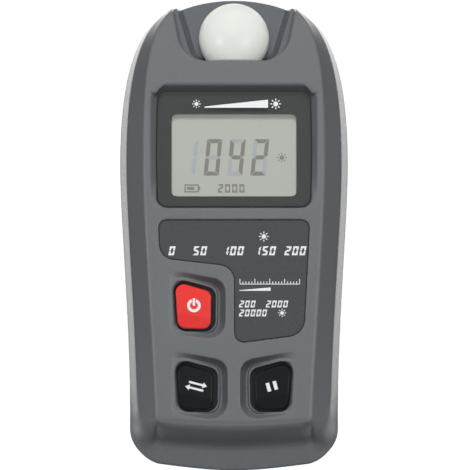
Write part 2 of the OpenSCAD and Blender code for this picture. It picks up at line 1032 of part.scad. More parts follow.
module diffuser_ball() {
    color("#eceee8")
        along_y(ball_z)
            difference() {
                union() {
                    difference() {
                        translate([0, 0, ball_y])
                            sphere(r = ball_r);
                        translate([0, 0, seat_y - 20])
                            cylinder(h = 20, r = 20);
                    }
                    translate([0, 0, neck_end])
                        cylinder(h = ball_y - neck_end, r = neck_r);
                    translate([0, 0, neck_end])
                        cylinder(h = neck_flange_t, r = neck_r + 1.5);
                }
                intersection() {
                    translate([0, 0, ball_y])
                        sphere(r = ball_r - ball_wall);
                    translate([0, 0, seat_y + ball_wall])
                        cylinder(h = 20, r = 20);
                }
                translate([0, 0, neck_end - 1])
                    cylinder(h = ball_y - neck_end, r = neck_r - neck_wall);
            }
}

module sensor_holder() {
    color("#2b2c2e")
        along_y(ball_z)
            difference() {
                translate([0, 0, sensor_y])
                    cylinder(h = holder_l, r = holder_r);
                translate([0, 0, sensor_y - 1])
                    cylinder(h = holder_l + 2, r = holder_r - holder_wall);
                translate([0, 0, filter_y])
                    cylinder(h = holder_l, r = filter_r);
            }
}

module colour_filter() {
    color("#7fb7a0")
        along_y(ball_z)
            translate([0, 0, filter_y])
                cylinder(h = filter_t, r = filter_r - clear);
}

module photodiode() {
    color("#3a3436")
        along_y(ball_z)
            translate([0, 0, sensor_y])
                cylinder(h = diode_h, r = holder_r - holder_wall - clear);
}

module sensor_board() {
    color("#2f6b46")
        difference() {
            translate([-sensor_w / 2, sensor_y - board_t, 4])
                cube([sensor_w, board_t, board_top + 3.2 - 4]);
            for (i = [-1:1])
                translate([pin_pitch * i, 0, board_top + pin_rise])
                    rotate([-90, 0, 0])
                        translate([0, 0, sensor_y - board_t - 1])
                            cylinder(h = board_t + 2, d = pin_hole_d);
        }
}

module sensor_pins() {
    low = board_z - 0.4;
    high = board_top + pin_rise;
    color("#c9b25a")
        for (i = [-1:1])
            translate([pin_pitch * i - pin_w / 2, pin_y - pin_w / 2, 0]) {
                translate([0, 0, high - pin_w / 2])
                    cube([pin_w, sensor_y - 0.2 - pin_y + pin_w / 2, pin_w]);
                translate([0, 0, low])
                    cube([pin_w, pin_w, high - low]);
            }
}

// Batteries and contacts

module cell() {
    union() {
        cylinder(h = cell_l - 0.9, d = cell_d);
        translate([0, 0, 1])
            cylinder(h = cell_l - 1, d = 3.8);
    }
}

module left_cell() {
    color("#3b5f8a")
        translate([-cell_pitch / 2, bay_end - plate_t - 0.05 - cell_l, cell_z])
            rotate([-90, 0, 0])
                cell();
}

module right_cell() {
    color("#3b5f8a")
        translate([cell_pitch / 2, bay_y + plate_t + 0.05 + cell_l, cell_z])
            rotate([90, 0, 0])
                cell();
}

// One coil of wire, widest at its plate
module spring() {
    wire = 0.6;
    segments = 12;
    turns = spring_turns * segments;
    points = [
        for (i = [0:turns])
            let (t = i / turns, r = mix(3.4, 1.9, t), a = 360 * i / segments)
            [r * cos(a), r * sin(a), mix(wire / 2, spring_l - wire / 2, t)]
    ];
    rings = [
        for (i = [0:turns], k = [0:4])
            let (a = 360 * i / segments, b = 72 * k)
            points[i] + wire / 2 * [cos(b) * cos(a), cos(b) * sin(a), sin(b)]
    ];
    sides = [
        for (i = [0:turns - 1], k = [0:4])
            let (a = 5 * i + k, b = 5 * i + (k + 1) % 5)
            each [[a, b, b + 5], [a, b + 5, a + 5]]
    ];
    polyhedron(rings, concat(sides, [[4, 3, 2, 1, 0], [for (k = [0:4]) 5 * turns + k]]));
}

module contact_springs() {
    color("#c5c8ca") {
        translate([-cell_pitch / 2, bay_y + plate_t, cell_z])
            rotate([-90, 0, 0])
                spring();
        translate([cell_pitch / 2, bay_end - plate_t, cell_z])
            rotate([90, 0, 0])
                spring();
    }
}

module bridge_plate() {
    color("#c5c8ca")
        translate([-cell_pitch / 2 - 4, bay_y, cell_z - 4])
            cube([cell_pitch + 8, plate_t, 8]);
}

module terminal_plates() {
    color("#c5c8ca")
        for (x = [-cell_pitch / 2, cell_pitch / 2]) {
            translate([x - 4, bay_end - plate_t, cell_z - 4])
                cube([8, plate_t, 8]);
            translate([x - 1, bay_end - plate_t, cell_z])
                cube([2, plate_t, board_top - 0.2 - cell_z]);
        }
}

// Fasteners

module housing_screws() {
    color("#8d9093")
        at_four(screws)
            difference() {
                union() {
                    translate([0, 0, screw_recess])
                        cylinder(h = screw_head_t, d = 2 * screw_d);
                    translate([0, 0, screw_recess + screw_head_t / 2])
                        cylinder(h = screw_l + screw_head_t / 2, d = screw_d);
                }
                for (a = [0, 90])
                    rotate([0, 0, a])
                        translate([-cross_w / 2, -slot_w / 2, screw_recess - 1])
                            cube([cross_w, slot_w, 1 + slot_depth]);
            }
}

module board_screws() {
    color("#8d9093")
        at_four(board_screws_at)
            difference() {
                union() {
                    translate([0, 0, board_z - board_head_t])
                        cylinder(h = board_head_t, d = 2 * board_screw_d);
                    translate([0, 0, board_z - board_head_t / 2])
                        cylinder(h = board_t + board_grip, d = board_screw_d);
                }
                translate([-board_screw_d, -slot_w / 2, board_z - 2 * board_head_t])
                    cube([2 * board_screw_d, slot_w, board_head_t + 0.4]);
            }
}
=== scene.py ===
"""Looks of a hand-held light meter that lies on its back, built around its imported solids."""
import math
from collections import namedtuple
import bpy
import numpy as np
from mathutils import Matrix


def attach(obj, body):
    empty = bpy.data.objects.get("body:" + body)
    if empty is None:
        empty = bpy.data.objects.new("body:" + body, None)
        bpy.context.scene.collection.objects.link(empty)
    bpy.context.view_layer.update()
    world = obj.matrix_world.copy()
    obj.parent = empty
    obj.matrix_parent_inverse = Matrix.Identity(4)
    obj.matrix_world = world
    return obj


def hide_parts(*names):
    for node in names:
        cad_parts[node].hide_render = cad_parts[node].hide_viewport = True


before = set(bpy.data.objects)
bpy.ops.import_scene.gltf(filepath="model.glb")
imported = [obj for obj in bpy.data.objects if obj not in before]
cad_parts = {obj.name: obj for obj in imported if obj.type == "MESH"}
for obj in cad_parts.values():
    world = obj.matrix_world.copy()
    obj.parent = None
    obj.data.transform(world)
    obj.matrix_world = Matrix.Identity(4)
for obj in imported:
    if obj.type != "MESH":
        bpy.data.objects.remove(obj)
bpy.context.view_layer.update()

MM = 0.001
# Well past the part, for cuts that run out of it
FAR = 60
# Points along an outline's curves, its long sides and its round corners
CURVE_POINTS = 14
SIDE_POINTS = 24
ARC_POINTS = 8

# Body, in millimetres, in the frame of the solids
BODY_W = 54.6
BODY_L = 113.4
BODY_T = 26.5
HALF_L = BODY_L / 2
FOOT_W = 49.7
HEAD_W = 30.8
HEAD_RISE = 3.4
HEEL_Y = 9.4 - HALF_L
HIP_Y = 16.5
TOE_CORNER = 17.9, 1.6 - HALF_L
SPLIT_Z = 13
WALL = 2
SEAM_R = 0.35

# Front face
FACE_W = 42.2
FACE_FOOT_W = 36.4
FACE_FALL = 2.6
CROWN_Y = 22
TOE_L = 12
FACE_LOW = TOE_L - HALF_L
FACE_TOE = FACE_FOOT_W / 2 - 0.9, FACE_LOW + 0.7
FACE_HEEL = FACE_FOOT_W / 2, FACE_LOW + 1.7
FACE_TIP = HEAD_W / 2 - 0.7, HALF_L - HEAD_RISE - 1
FACE_END = 0, HALF_L - 1.9
CREASE_R = 0.5

# Share of the way in and share of the way up, along the flank and along the toe
FLANK = ((0, 0), (0.3, 0.59), (0.95, 0.97), (1, 1))
FLANK_SOFT = 0.07
TOE = (
    (0, 0.22), (0.42, 0.39), (0.5, 0.445), (0.58, 0.535), (0.67, 0.665),
    (0.77, 0.815), (0.855, 0.915), (0.94, 0.98), (1, 1),
)
TOE_SOFT = 0.03
TOE_EDGE_R = 0.7
# The flank turns into the toe around this point; the turn starts low at the joint, high at the face
TURN_X = FACE_FOOT_W / 2 - 0.3
TURN_Y = FACE_LOW + 1
TURN_LOW = math.radians(10)
TURN_HIGH = math.radians(64)
TURN_END = math.radians(85)
TURN_SHARE = 0.62
TURN_SHARE_RUN = 0.35
# The corner between them is lifted by a share of the height, and softened over
# these directions, in radians, and shares
CORNER_LIFT = 0.12
CORNER_SOFT = 1.2
CORNER_START = -1
CORNER_RUN = 1.4
CORNER_END_RUN = 0.2
CORNER_SHARE = 0.8
CORNER_SHARE_RUN = 0.25

# Head: the ball, the notch behind it and the wider mouth in the front shell
BALL_Y = HALF_L - 10
BALL_Z = 14.4
BALL_FIT = 0.1
BALL_WALL = 1.2
BALL_SIDES = 96
DOME_R = 8.4
DOME_Y = BALL_Y - 0.2
NECK_R = 5
FRONT_NECK_FIT = 0.1
REAR_NECK_FIT = 0.15
NECK_WALL = 0.9
NECK_END = 37.3
NECK_PAST = 1
NECK_FLANGE = 1.4
NECK_FLANGE_T = 1.2
FLOOR_Y = HALF_L - 15.3
NOTCH_W = 19.8
NOTCH_SLOPE = math.tan(math.radians(17))
NOTCH_R = 3.5
NOTCH_BACK = 4.4
NOTCH_DRAFT = 1.2
NOTCH_EDGE_R = 0.4
NOTCH_WALL = 1.8
NOTCH_TIP_R = 0.1
NOTCH_PAST = 6
MOUTH_Y = HALF_L - 16.2
MOUTH_W = 24.3
MOUTH_SLOPE = math.tan(math.radians(11))
MOUTH_R = 7
MOUTH_DRAFT = 0.4
MOUTH_EDGE_R = 0.5
BALL_SEAT = MOUTH_Y + 0.55

# Display
LENS_W = 36.9
LENS_H = 27.5
LENS_T = 1.2
LENS_R = 2.4
LENS_BOW = 0.35
LENS_BOW_R = 200
LENS_Y = HALF_L - 23.1 - LENS_H / 2
LENS_LOW = LENS_Y - LENS_H / 2
LENS_HIGH = LENS_Y + LENS_H / 2
LENS_TILT = math.radians(2.3)
LENS_SINK = 0.05
LENS_EDGE_R = 0.15
LENS_RIM = 0.25
LENS_RIM_MID = 0.08, 0.07
LENS_LINE = 0.3
MASK_T = 0.15
MASK_POINTS = 160
VIEW_W = 29.4
VIEW_H = 19.5
VIEW_Y = LENS_Y - 1.4
VIEW_R = 1.1
VIEW_ROOM = 0.7
PAD_REACH = 1.4
PAD_T = 1.6
# Room around the pane and the label film
FIT = 0.12

# Recess around the display, with a gutter that grows from the pane's foot upward
RECESS_SIDE = 1.75
RECESS_TOP = 1.7
RECESS_FOOT = 0.15
RECESS_FOOT_R = 2.8
RECESS_TOP_R = 1.4
# Share of the way out and share of the way up, along the recess wall
RECESS_WALL = ((0, 0), (0.65, 0.86), (1, 1))
RECESS_SOFT = 0.06
GUTTER = 1.75
GUTTER_LEAST = 0.2
GUTTER_RUN = 6
PANE_SEAT = 0.3
# Flat facet in each upper corner of the recess, between two slanted lines
FACET_FALL = 0.5
FACET_X = 15.9
FACET_LEAN = 0.9
FACET_END_X = 19.3
FACET_DROP = 2.3
FACET_RISE = 0.46
FACET_SOFT = 0.5

# Label film
LABEL_W = 35.2
LABEL_L = 29
LABEL_T = 0.3
LABEL_BAND = 8.6
LABEL_DRAW_IN = 0.4, 1.3
LABEL_STEP_X = 0.3
LABEL_STEP_FALL = 2
LABEL_FOOT_RISE = 0.3, 2.4
LABEL_RADII = 1.75, 1.75, 3.4, 4, 2, 4
LABEL_Y = LENS_LOW - 3.1
LABEL_MID = LABEL_Y - LABEL_L / 2
LABEL_SINK = 0.05
LABEL_BED = 0.02
LABEL_GROOVE = 0.1
LABEL_GROOVE_W = 0.28
LABEL_GROOVE_D = 0.7
LABEL_SHADOW_LINE = 0.22

# Keys: middle of each, and its side, -1 where its form is mirrored
Key = namedtuple("Key", "x y side")
PAIR_X = 9.1
PAIR_Y = 20.75 - HALF_L
KEYS = {
    "power": Key(-9.6, 39.75 - HALF_L, 1),
    "mode": Key(-PAIR_X, PAIR_Y, 1),
    "hold": Key(PAIR_X, PAIR_Y, -1),
}
KEY_W = 8.6
KEY_L = 11.3
KEY_SLANT = 2.5
KEY_R = 1.9
KEY_DRAW_IN = 0.7, 0.15
KEY_FOOT_RISE = 0.2
KEY_RISE = 1
KEY_TALL = 5.6
KEY_EDGE_R = 0.55
KEY_DEPTH = 2.5
STEM_R = 2.2
PLUNGER_TOP = 21.2
# A slanted crease, past which a key's top bends down
BEND_TURN = math.radians(-12)
BEND_PLACE = 0.2 * KEY_L
BEND_FALL = math.tan(math.radians(11))
# Gap around a key, and the dark skirt that fills it below, whose dark colour is painted shade in the
# gap
CAP_GAP = 0.62
GAP_SHIFT = 0.33
GAP_EDGE_R = 0.45
GAP_LOW = 17
SHADE_SKIRT_REACH = 0.15
SHADE_SKIRT_GAP = 0.15
SHADE_SKIRT_LAP = 0.2
SHADE_SKIRT_T = 0.5

# Scoops that the keys stand in
SCOOP_DEPTH = 1.3
SCOOP_RIM = 1.5
SCOOP_W = KEY_W + 2 * SCOOP_RIM
SCOOP_TILT = math.asin(SCOOP_DEPTH / SCOOP_W)
SCOOP_QUAD = (-6.4, 8.6), (-6.4, -6.5), (7.65, -8.3), (7.65, 5.9)
SCOOP_RADII = 2, 2, 4, 3.4
SCOOP_FALL = 2.1
SCOOP_FALL_MOST = 1.1
COLLAR_DROP = 2
# Shares of the way from a key to its scoop's edge: collar, crest and groove
CREST = 0.34, 0.44
GROOVE = 0.5
GROOVE_FALL = 1.95
# Stock around a key inside the shell: its reach, and how deep below the face it starts
COLLAR_REACH = 2.6
COLLAR_DEPTH = SCOOP_DEPTH + 1.9
WELL_REACH = 4.4
WELL_DEPTH = 4.6

# Rear shell: height and inset of its side, outside and inside
REAR_SIDE = (0, 4.2), (0.6, 2.1), (1.9, 0.84), (4, 0.15), (SPLIT_Z, 0)
REAR_INSIDE = (WALL, 4.4), (3.6, 2.7), (8, WALL), (14, WALL)
REAR_SOFT = 0.03
BACK_R = 0.3
BAY_W = 22.5
BAY_Y = 10.5 - HALF_L
BAY_END = BAY_Y + 49.8
BAY_TOP = 12.4
BAY_RIB = 1.4
DOOR_W = 29
DOOR_LIP = 0.9
DOOR_FIT = 0.15
DOOR_END = BAY_END + 1.5
TRACK_Z = 0.75
TRACK_TOP = 2
TRACK_WALL = 1.6
TRACK_ROOF = 3.1
TRACK_STOP = 2.6
TONGUE_SIDE = 4
TONGUE_L = 2
SCREWS = (BODY_W / 2 - 8.6, FLOOR_Y - 3.4), (FOOT_W / 2 - 6.4, HEEL_Y + 2.6)
SCREW_R = 1.5
SCREW_HEAD_R = 2.85
SCREW_HEAD_Z = 3.6
FRONT_POST_R = 2.8
REAR_POST_R = 3.2
SENSOR_SLOT_LOW = -9.1, 35.2, 3.9
SENSOR_SLOT_HIGH = 9.1, 37, FAR

# Sampling: spacing, air around the piece, and share of the faces that is kept
FRONT_STEP = 0.2
FRONT_AIR = 0.9, 0.9, 0.8
FRONT_KEEP = 0.2
REAR_STEP = 0.3
REAR_AIR = 0.9, 1.2, 0.9
REAR_KEEP = 0.3
KEY_STEP = 0.14
KEY_AIR = 1.8, 1.8, 0.4
KEY_KEEP = 0.5

# Printed marks: thickness of the ink, and its lift off what carries it
INK_T = 0.03
LIFT = 0.01
# Display figures: width, height, stroke, lean and gap
FIGURE = 3.6, 8.6, 0.95, 0.1, 0.08
FIGURE_X = -10.6, -4.96, 0.57, 6.1
FIGURE_Y = 17.93
SMALL_ROW_Y = 10.6
LCD_Z = 22.4
TITLE_Y = 30.4
# Label: figures of the scale with their left ends, the rule and the two rows of ranges
SCALE = {"0": -15.2, "50": -9.5, "100": -2.6, "150": 4.9, "200": 12.0}
SCALE_Y = -4.1
SCALE_H = 2.1
RULE_Y = -12.0
WEDGE_Y = -13.5
RANGE_X = 1.3
RANGE_Y = -16.6, -18.7
RANGE_H = 1.6


# Outlines

def mix(a, b, t):
    return a + (b - a) * t


def ease(t):
    t = np.clip(t, 0, 1)
    return t * t * (3 - 2 * t)


def curve(a, b, c, d, n=CURVE_POINTS):
    """Points of a cubic curve without its end point."""
    t = np.linspace(0, 1, n, endpoint=False)[:, None]
    a, b, c, d = (np.array(p, float) for p in (a, b, c, d))
    return (1 - t) ** 3 * a + 3 * (1 - t) ** 2 * t * b + 3 * (1 - t) * t * t * c + t ** 3 * d


def directions(angle):
    return np.column_stack([np.cos(angle), np.sin(angle)])


def both_sides(right):
    """Closed outline from its right half."""
    return np.vstack([right, right[-2:0:-1] * (-1, 1)])


def head_curve(tip, end):
    """Flat arch from the tip of a horn to the middle of the head."""
    first = 0.69 * tip[0], mix(tip[1], end[1], 0.69)
    last = 0.35 * tip[0], end[1]
    return curve(tip, first, last, end)


def body_outline():
    foot = np.array((0, -HALF_L))
    toe = np.array(TOE_CORNER)
    heel = np.array((FOOT_W / 2, HEEL_Y))
    hip = np.array((BODY_W / 2, HIP_Y))
    tip = np.array((HEAD_W / 2, HALF_L - HEAD_RISE))
    end = np.array((0, HALF_L))
    waist = heel[0], mix(HEEL_Y, HIP_Y, 0.42)
    below_hip = hip[0], mix(HEEL_Y, HIP_Y, 0.77)
    above_hip = hip[0], mix(HIP_Y, tip[1], 0.92)
    return both_sides(np.vstack([
        curve(foot, foot + (5, 0), foot + (11.5, 0.75), toe),
        curve(toe, toe + (3, 0.6), heel - (0.1, 3.4), heel),
        curve(heel, waist, below_hip, hip, SIDE_POINTS),
        curve(hip, above_hip, tip + (1.9, -2.5), tip, SIDE_POINTS),
        head_curve(tip, end),
        [end],
    ]))


def face_outline():
    foot = np.array((0, FACE_LOW))
    toe = np.array(FACE_TOE)
    heel = np.array(FACE_HEEL)
    hip = np.array((FACE_W / 2, HIP_Y))
    tip = np.array(FACE_TIP)
    end = np.array(FACE_END)
    return both_sides(np.vstack([
        curve(foot, (toe[0] / 3, FACE_LOW), (toe[0] * 2 / 3, FACE_LOW + 0.4), toe),
        curve(toe, toe + (0.5, 0.05), heel - (0, 0.5), heel),
        curve(heel, heel + (0.6, 18), hip - (0, 16), hip, SIDE_POINTS),
        curve(hip, hip + (0, 20), tip + (5.7, -4.8), tip, SIDE_POINTS),
        head_curve(tip, end),
        [end],
    ]))


def rounded(points, radii, n=ARC_POINTS):
    """Closed outline with an arc of the given radius at each corner."""
    points = np.array(points, float)
    found = []
    for i, (b, r) in enumerate(zip(points, radii)):
        u = points[i - 1] - b
        v = points[(i + 1) % len(points)] - b
        u /= np.linalg.norm(u)
        v /= np.linalg.norm(v)
        half = math.acos(np.clip(u @ v, -1, 1)) / 2
        centre = b + (u + v) / np.linalg.norm(u + v) * r / math.sin(half)
        first = b + u * r / math.tan(half) - centre
        last = b + v * r / math.tan(half) - centre
        start = math.atan2(first[1], first[0])
        turn = (math.pi - 2 * half) * np.sign(first[0] * last[1] - first[1] * last[0])
        angle = start + turn * np.linspace(0, 1, n)
        found.append(centre + r * directions(angle))
    return np.vstack(found)


def oblong(w, low, high, radii, n=ARC_POINTS):
    """Upright rectangle around the middle line, with its corners rounded."""
    x = w / 2
    return rounded(((-x, low), (x, low), (x, high), (-x, high)), radii, n)


def pane_outline():
    x, y = LENS_W / 2, LENS_H / 2
    side = x - LENS_BOW
    corners = (-side, -y), (side, -y), (x, 0), (side, y), (-side, y), (-x, 0)
    radii = LENS_R, LENS_R, LENS_BOW_R, LENS_R, LENS_R, LENS_BOW_R
    return rounded(corners, radii) + (0, LENS_Y)


def view_outline():
    """Window in the pane's mask."""
    return oblong(VIEW_W, -VIEW_H / 2, VIEW_H / 2, [VIEW_R] * 4, 12) + (0, VIEW_Y)


def recess_outline():
    """Upper edge of the display recess."""
    radii = RECESS_FOOT_R, RECESS_FOOT_R, RECESS_TOP_R, RECESS_TOP_R
    return oblong(LENS_W + 2 * RECESS_SIDE, LENS_LOW - RECESS_FOOT, LENS_HIGH + RECESS_TOP, radii)


def label_outline():
    w = LABEL_W / 2
    corners = (
        (w, 0), (-w, 0), (LABEL_DRAW_IN[0] - w, -LABEL_BAND),
        (LABEL_STEP_X, -LABEL_STEP_FALL - LABEL_BAND),
        (LABEL_STEP_X, LABEL_FOOT_RISE[0] - LABEL_L),
        (w - LABEL_DRAW_IN[1], LABEL_FOOT_RISE[1] - LABEL_L),
    )
    return rounded(corners, LABEL_RADII) + (0, LABEL_Y)


KEY_QUAD = (
    (-KEY_W / 2, KEY_L / 2),
    (KEY_DRAW_IN[0] - KEY_W / 2, KEY_FOOT_RISE - KEY_L / 2),
    (KEY_W / 2 - KEY_DRAW_IN[1], -KEY_L / 2),
    (KEY_W / 2, KEY_L / 2 - KEY_SLANT),
)
KEY_OUTLINE = rounded(KEY_QUAD, [KEY_R] * 4)
SCOOP_OUTLINE = rounded(SCOOP_QUAD, SCOOP_RADII)


def notch_outline(w, low, slope, r):
    """Notch that opens toward the head."""
    high = HALF_L + NOTCH_PAST
    reach = w / 2 + (high - low) * slope
    corners = (-reach, high), (-w / 2, low), (w / 2, low), (reach, high)
    return rounded(corners, (NOTCH_TIP_R, r, r, NOTCH_TIP_R))


def inset(points, d):
    """Outline moved inward, for outlines that run counter-clockwise."""
    along = np.roll(points, -1, axis=0) - np.roll(points, 1, axis=0)
    along /= np.linalg.norm(along, axis=1)[:, None]
    return points + d * np.column_stack([-along[:, 1], along[:, 0]])


# Fields: negative inside the material

def distance(points, x, y):
    """Signed distance to a closed outline, negative inside."""
    best = np.full(x.shape, 1e9)
    inside = np.zeros(x.shape, bool)
    for (ax, ay), (bx, by) in zip(points, np.roll(points, -1, axis=0)):
        ex, ey = bx - ax, by - ay
        t = np.clip(((x - ax) * ex + (y - ay) * ey) / max(ex * ex + ey * ey, 1e-12), 0, 1)
        best = np.minimum(best, (x - ax - t * ex) ** 2 + (y - ay - t * ey) ** 2)
        if ey:
            inside ^= ((ay > y) != (by > y)) & (x < ax + (y - ay) * ex / ey)
    return np.where(inside, -1, 1) * np.sqrt(best)


def both(a, b, r=0.0):
    """What is inside both fields, with its convex edge rounded."""
    if not r:
        return np.maximum(a, b)
    return np.maximum(a, b) + np.maximum(r - np.abs(a - b), 0) ** 2 / (4 * r)


def either(a, b):
    """What is inside either field."""
    return np.minimum(a, b)


def cut(a, b, r=0.0):
    """What is inside a and outside b."""
    return both(a, -b, r)


def profile(points, at, soft):
    """Broken line at the given places, with its corners softened."""
    step = 0.005
    margin = 0.2
    first, last = points[0][0], points[-1][0]
    span = last - first
    fine = np.arange(first - margin * span, last + margin * span, step * span)
    value = np.interp(fine, *zip(*points))
    width = max(1, round(soft / step))
    kernel = np.ones(width) / width
    padded = np.pad(value, width, mode="edge")
    value = np.convolve(np.convolve(padded, kernel, "same"), kernel, "same")[width:-width]
    return np.interp(at, fine, value)


def soften(height, passes):
    """Height map with its creases rounded a little."""
    for _ in range(passes):
        for axis in (0, 1):
            height = (np.roll(height, 1, axis) + 2 * height + np.roll(height, -1, axis)) / 4
    return height


def between(inner, outer):
    """Share of the way from an inner outline to an outer one."""
    inner = np.maximum(inner, 0)
    return np.where(outer < 0, inner / np.maximum(inner - outer, 1e-6), 1)


class Grid:
    """Sample points of a box and the air around it: x, y and z for fields, and a flat plan."""

    def __init__(self, low, high, air, step):
        self.low = np.array(low, float) - air
        self.step = step
        axes = [np.arange(lo - a, hi + a + step, step) for lo, hi, a in zip(low, high, air)]
        self.x = axes[0][:, None, None]
        self.y = axes[1][None, :, None]
        self.z = axes[2][None, None, :]
        self.plan = np.meshgrid(axes[0], axes[1], indexing="ij")

    def outline(self, points):
        """Signed distance to an outline, for every height."""
        return distance(points, *self.plan)[:, :, None]

    def over(self, height):
        """Signed distance above a height map."""
        dx, dy = np.gradient(height, self.step)
        slope = np.sqrt(1 + dx * dx + dy * dy)[:, :, None]
        return (self.z - height[:, :, None]) / slope

    def box(self, low, high):
        """Box between two corners."""
        axes = self.x, self.y, self.z
        sides = [np.maximum(lo - v, v - hi) for v, lo, hi in zip(axes, low, high)]
        return both(both(sides[0], sides[1]), sides[2])

    def posts(self, x, y, r):
        """Upright posts on both sides of the middle line."""
        return np.hypot(np.abs(self.x) - x, self.y - y) - r


# Heights of the surfaces

def face_z(y):
    """Crowned front face."""
    return BODY_T - FACE_FALL * ((CROWN_Y - y) / (CROWN_Y + HALF_L)) ** 2


def face_slope(y):
    return 2 * FACE_FALL * (CROWN_Y - y) / (CROWN_Y + HALF_L) ** 2


def pane_z(y):
    """Outer face of the pane."""
    middle = face_z(LENS_LOW) - LENS_SINK - LENS_H / 2 * math.sin(LENS_TILT)
    return middle - (y - LENS_Y) * math.tan(LENS_TILT)


def label_z(y):
    """Outer face of the label film."""
    return face_z(LABEL_MID) - LABEL_SINK + (y - LABEL_MID) * face_slope(LABEL_MID)


def key_place(key, x, y):
    """Place in the frame of a left-hand key."""
    return (x - key.x) * key.side, y - key.y


def key_top(key, u, v):
    """Top of a key: a tilted plane that bends down along a slanted crease."""
    plane = face_z(key.y) + v * face_slope(key.y) - SCOOP_DEPTH / 2 - u * math.tan(SCOOP_TILT)
    past = -(v + BEND_PLACE) * math.cos(BEND_TURN) + u * math.sin(BEND_TURN)
    return plane + KEY_RISE - np.maximum(past, 0) * BEND_FALL


def recess_map(x, y):
    """Front face with the display recess, its gutter and its corner facets."""
    face = face_z(y)
    pane = distance(pane_outline(), x, y)
    gutter = GUTTER * np.clip((y - LENS_LOW) / GUTTER_RUN, GUTTER_LEAST, 1)
    gutter = np.where(pane < -PANE_SEAT, np.minimum(gutter, LENS_T), gutter)
    below = LENS_HIGH + RECESS_TOP - y
    aside = np.abs(x) - FACET_X - FACET_LEAN * below
    above = FACET_DROP - below + FACET_RISE * (FACET_END_X - np.abs(x))
    facet = np.clip(aside / FACET_SOFT + 0.5, 0, 1) * np.clip(above / FACET_SOFT + 0.5, 0, 1)
    facet *= pane > -PANE_SEAT
    bed = mix(np.minimum(pane_z(y) - gutter, face), face - FACET_FALL, facet)
    rise = profile(RECESS_WALL, between(pane, distance(recess_outline(), x, y)), RECESS_SOFT)
    return mix(bed, face, rise)


def scoop_map(key, x, y):
    """Collar, groove and rising wall around a key."""
    face = face_z(y)
    u, v = key_place(key, x, y)
    share = between(distance(KEY_OUTLINE, u, v), distance(SCOOP_OUTLINE, u, v))
    fall = SCOOP_FALL * np.clip((u + SCOOP_W / 2) / SCOOP_W, 0, SCOOP_FALL_MOST)
    groove = face - GROOVE_FALL * fall
    wall = mix(groove, face, np.clip((share - GROOVE) / (1 - GROOVE), 0, 1))
    collar = face - fall - COLLAR_DROP * np.clip(1 - share / CREST[0], 0, 1)
    collar = mix(collar, groove, np.clip((share - CREST[1]) / (GROOVE - CREST[1]), 0, 1))
    return np.where(share < GROOVE, collar, wall)


def face_map(grid):
    """Front face with its display recess and key scoops."""
    height = recess_map(*grid.plan)
    for key in KEYS.values():
        height = np.minimum(height, scoop_map(key, *grid.plan))
    return soften(height, 1)


# Meshes

def surface_net(field, grid):
    """Points and quads of a field's zero surface."""
    inside = field < 0
    cells = tuple(n - 1 for n in field.shape)
    corners = [(i, j, k) for i in (0, 1) for j in (0, 1) for k in (0, 1)]
    count = np.zeros(cells, np.int8)
    for i, j, k in corners:
        count += inside[i:i + cells[0], j:j + cells[1], k:k + cells[2]]
    at = np.argwhere((count > 0) & (count < 8))
    index = np.full(cells, -1, np.int64)
    index[tuple(at.T)] = np.arange(len(at))
    values = {c: field[tuple((at + c).T)] for c in corners}
    total = np.zeros((len(at), 3))
    hits = np.zeros(len(at))
    for a in corners:
        for axis in range(3):
            if a[axis]:
                continue
            b = tuple(v + (n == axis) for n, v in enumerate(a))
            crosses = (values[a] < 0) != (values[b] < 0)
            share = np.where(crosses, values[a] / np.where(crosses, values[a] - values[b], 1), 0)
            for n in range(3):
                total[:, n] += np.where(crosses, a[n] + share * (n == axis), 0)
            hits += crosses
    points = grid.low + grid.step * (at + total / hits[:, None])
    quads = []
    for axis in range(3):
        u, v = (axis + 1) % 3, (axis + 2) % 3
        first = np.take(inside, range(cells[axis]), axis)
        last = np.take(inside, range(1, cells[axis] + 1), axis)
        e = np.argwhere(first != last)
        e = e[(e[:, u] > 0) & (e[:, v] > 0) & (e[:, u] < cells[u]) & (e[:, v] < cells[v])]
        back_u = np.eye(3, dtype=int)[u]
        back_v = np.eye(3, dtype=int)[v]
        around = [index[tuple((e - d).T)] for d in (back_u + back_v, back_v, 0 * back_u, back_u)]
        quad = np.column_stack(around)
        outward = first[tuple(e.T)]
        quads.append(np.where(outward[:, None], quad, quad[:, ::-1]))
    return points, np.vstack(quads)


def new_object(name, data):
    obj = bpy.data.objects.new(name, data)
    bpy.context.scene.collection.objects.link(obj)
    return obj


def piece(name, points, faces, finish, body, nodes=(), smooth=True):
    """New object from points in millimetres, riding on a body."""
    mesh = bpy.data.meshes.new(name)
    mesh.from_pydata((np.array(points) * MM).tolist(), [], [list(map(int, f)) for f in faces])
    mesh.validate()
    mesh.polygons.foreach_set("use_smooth", [smooth] * len(mesh.polygons))
    mesh.materials.append(finish)
    obj = new_object(name, mesh)
    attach(obj, body)
    if nodes:
        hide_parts(*nodes)
    return obj


def thin_out(obj, ratio):
    """Fewer faces where the surface is flat."""
    modifier = obj.modifiers.new("fewer", "DECIMATE")
    modifier.ratio = ratio


def anticlockwise(x, y):
    return np.sum(x * np.roll(y, -1) - y * np.roll(x, -1)) > 0


def ring(name, outer, inner, height, finish, body, thick=INK_T, nodes=()):
    """Flat closed ring between two outlines with as many points, lying on a surface."""
    if not anticlockwise(*outer.T):
        outer, inner = outer[::-1], inner[::-1]
    points = []
    for loop, lift in ((outer, thick), (inner, thick), (inner, 0), (outer, 0)):
        points += [(x, y, height(x, y) + lift) for x, y in loop]
    n = len(outer)
    faces = []
    for row in range(4):
        a, b = row * n, (row + 1) % 4 * n
        faces += [(a + i, a + (i + 1) % n, b + (i + 1) % n, b + i) for i in range(n)]
    piece(name, points, faces, finish, body, nodes, smooth=False)


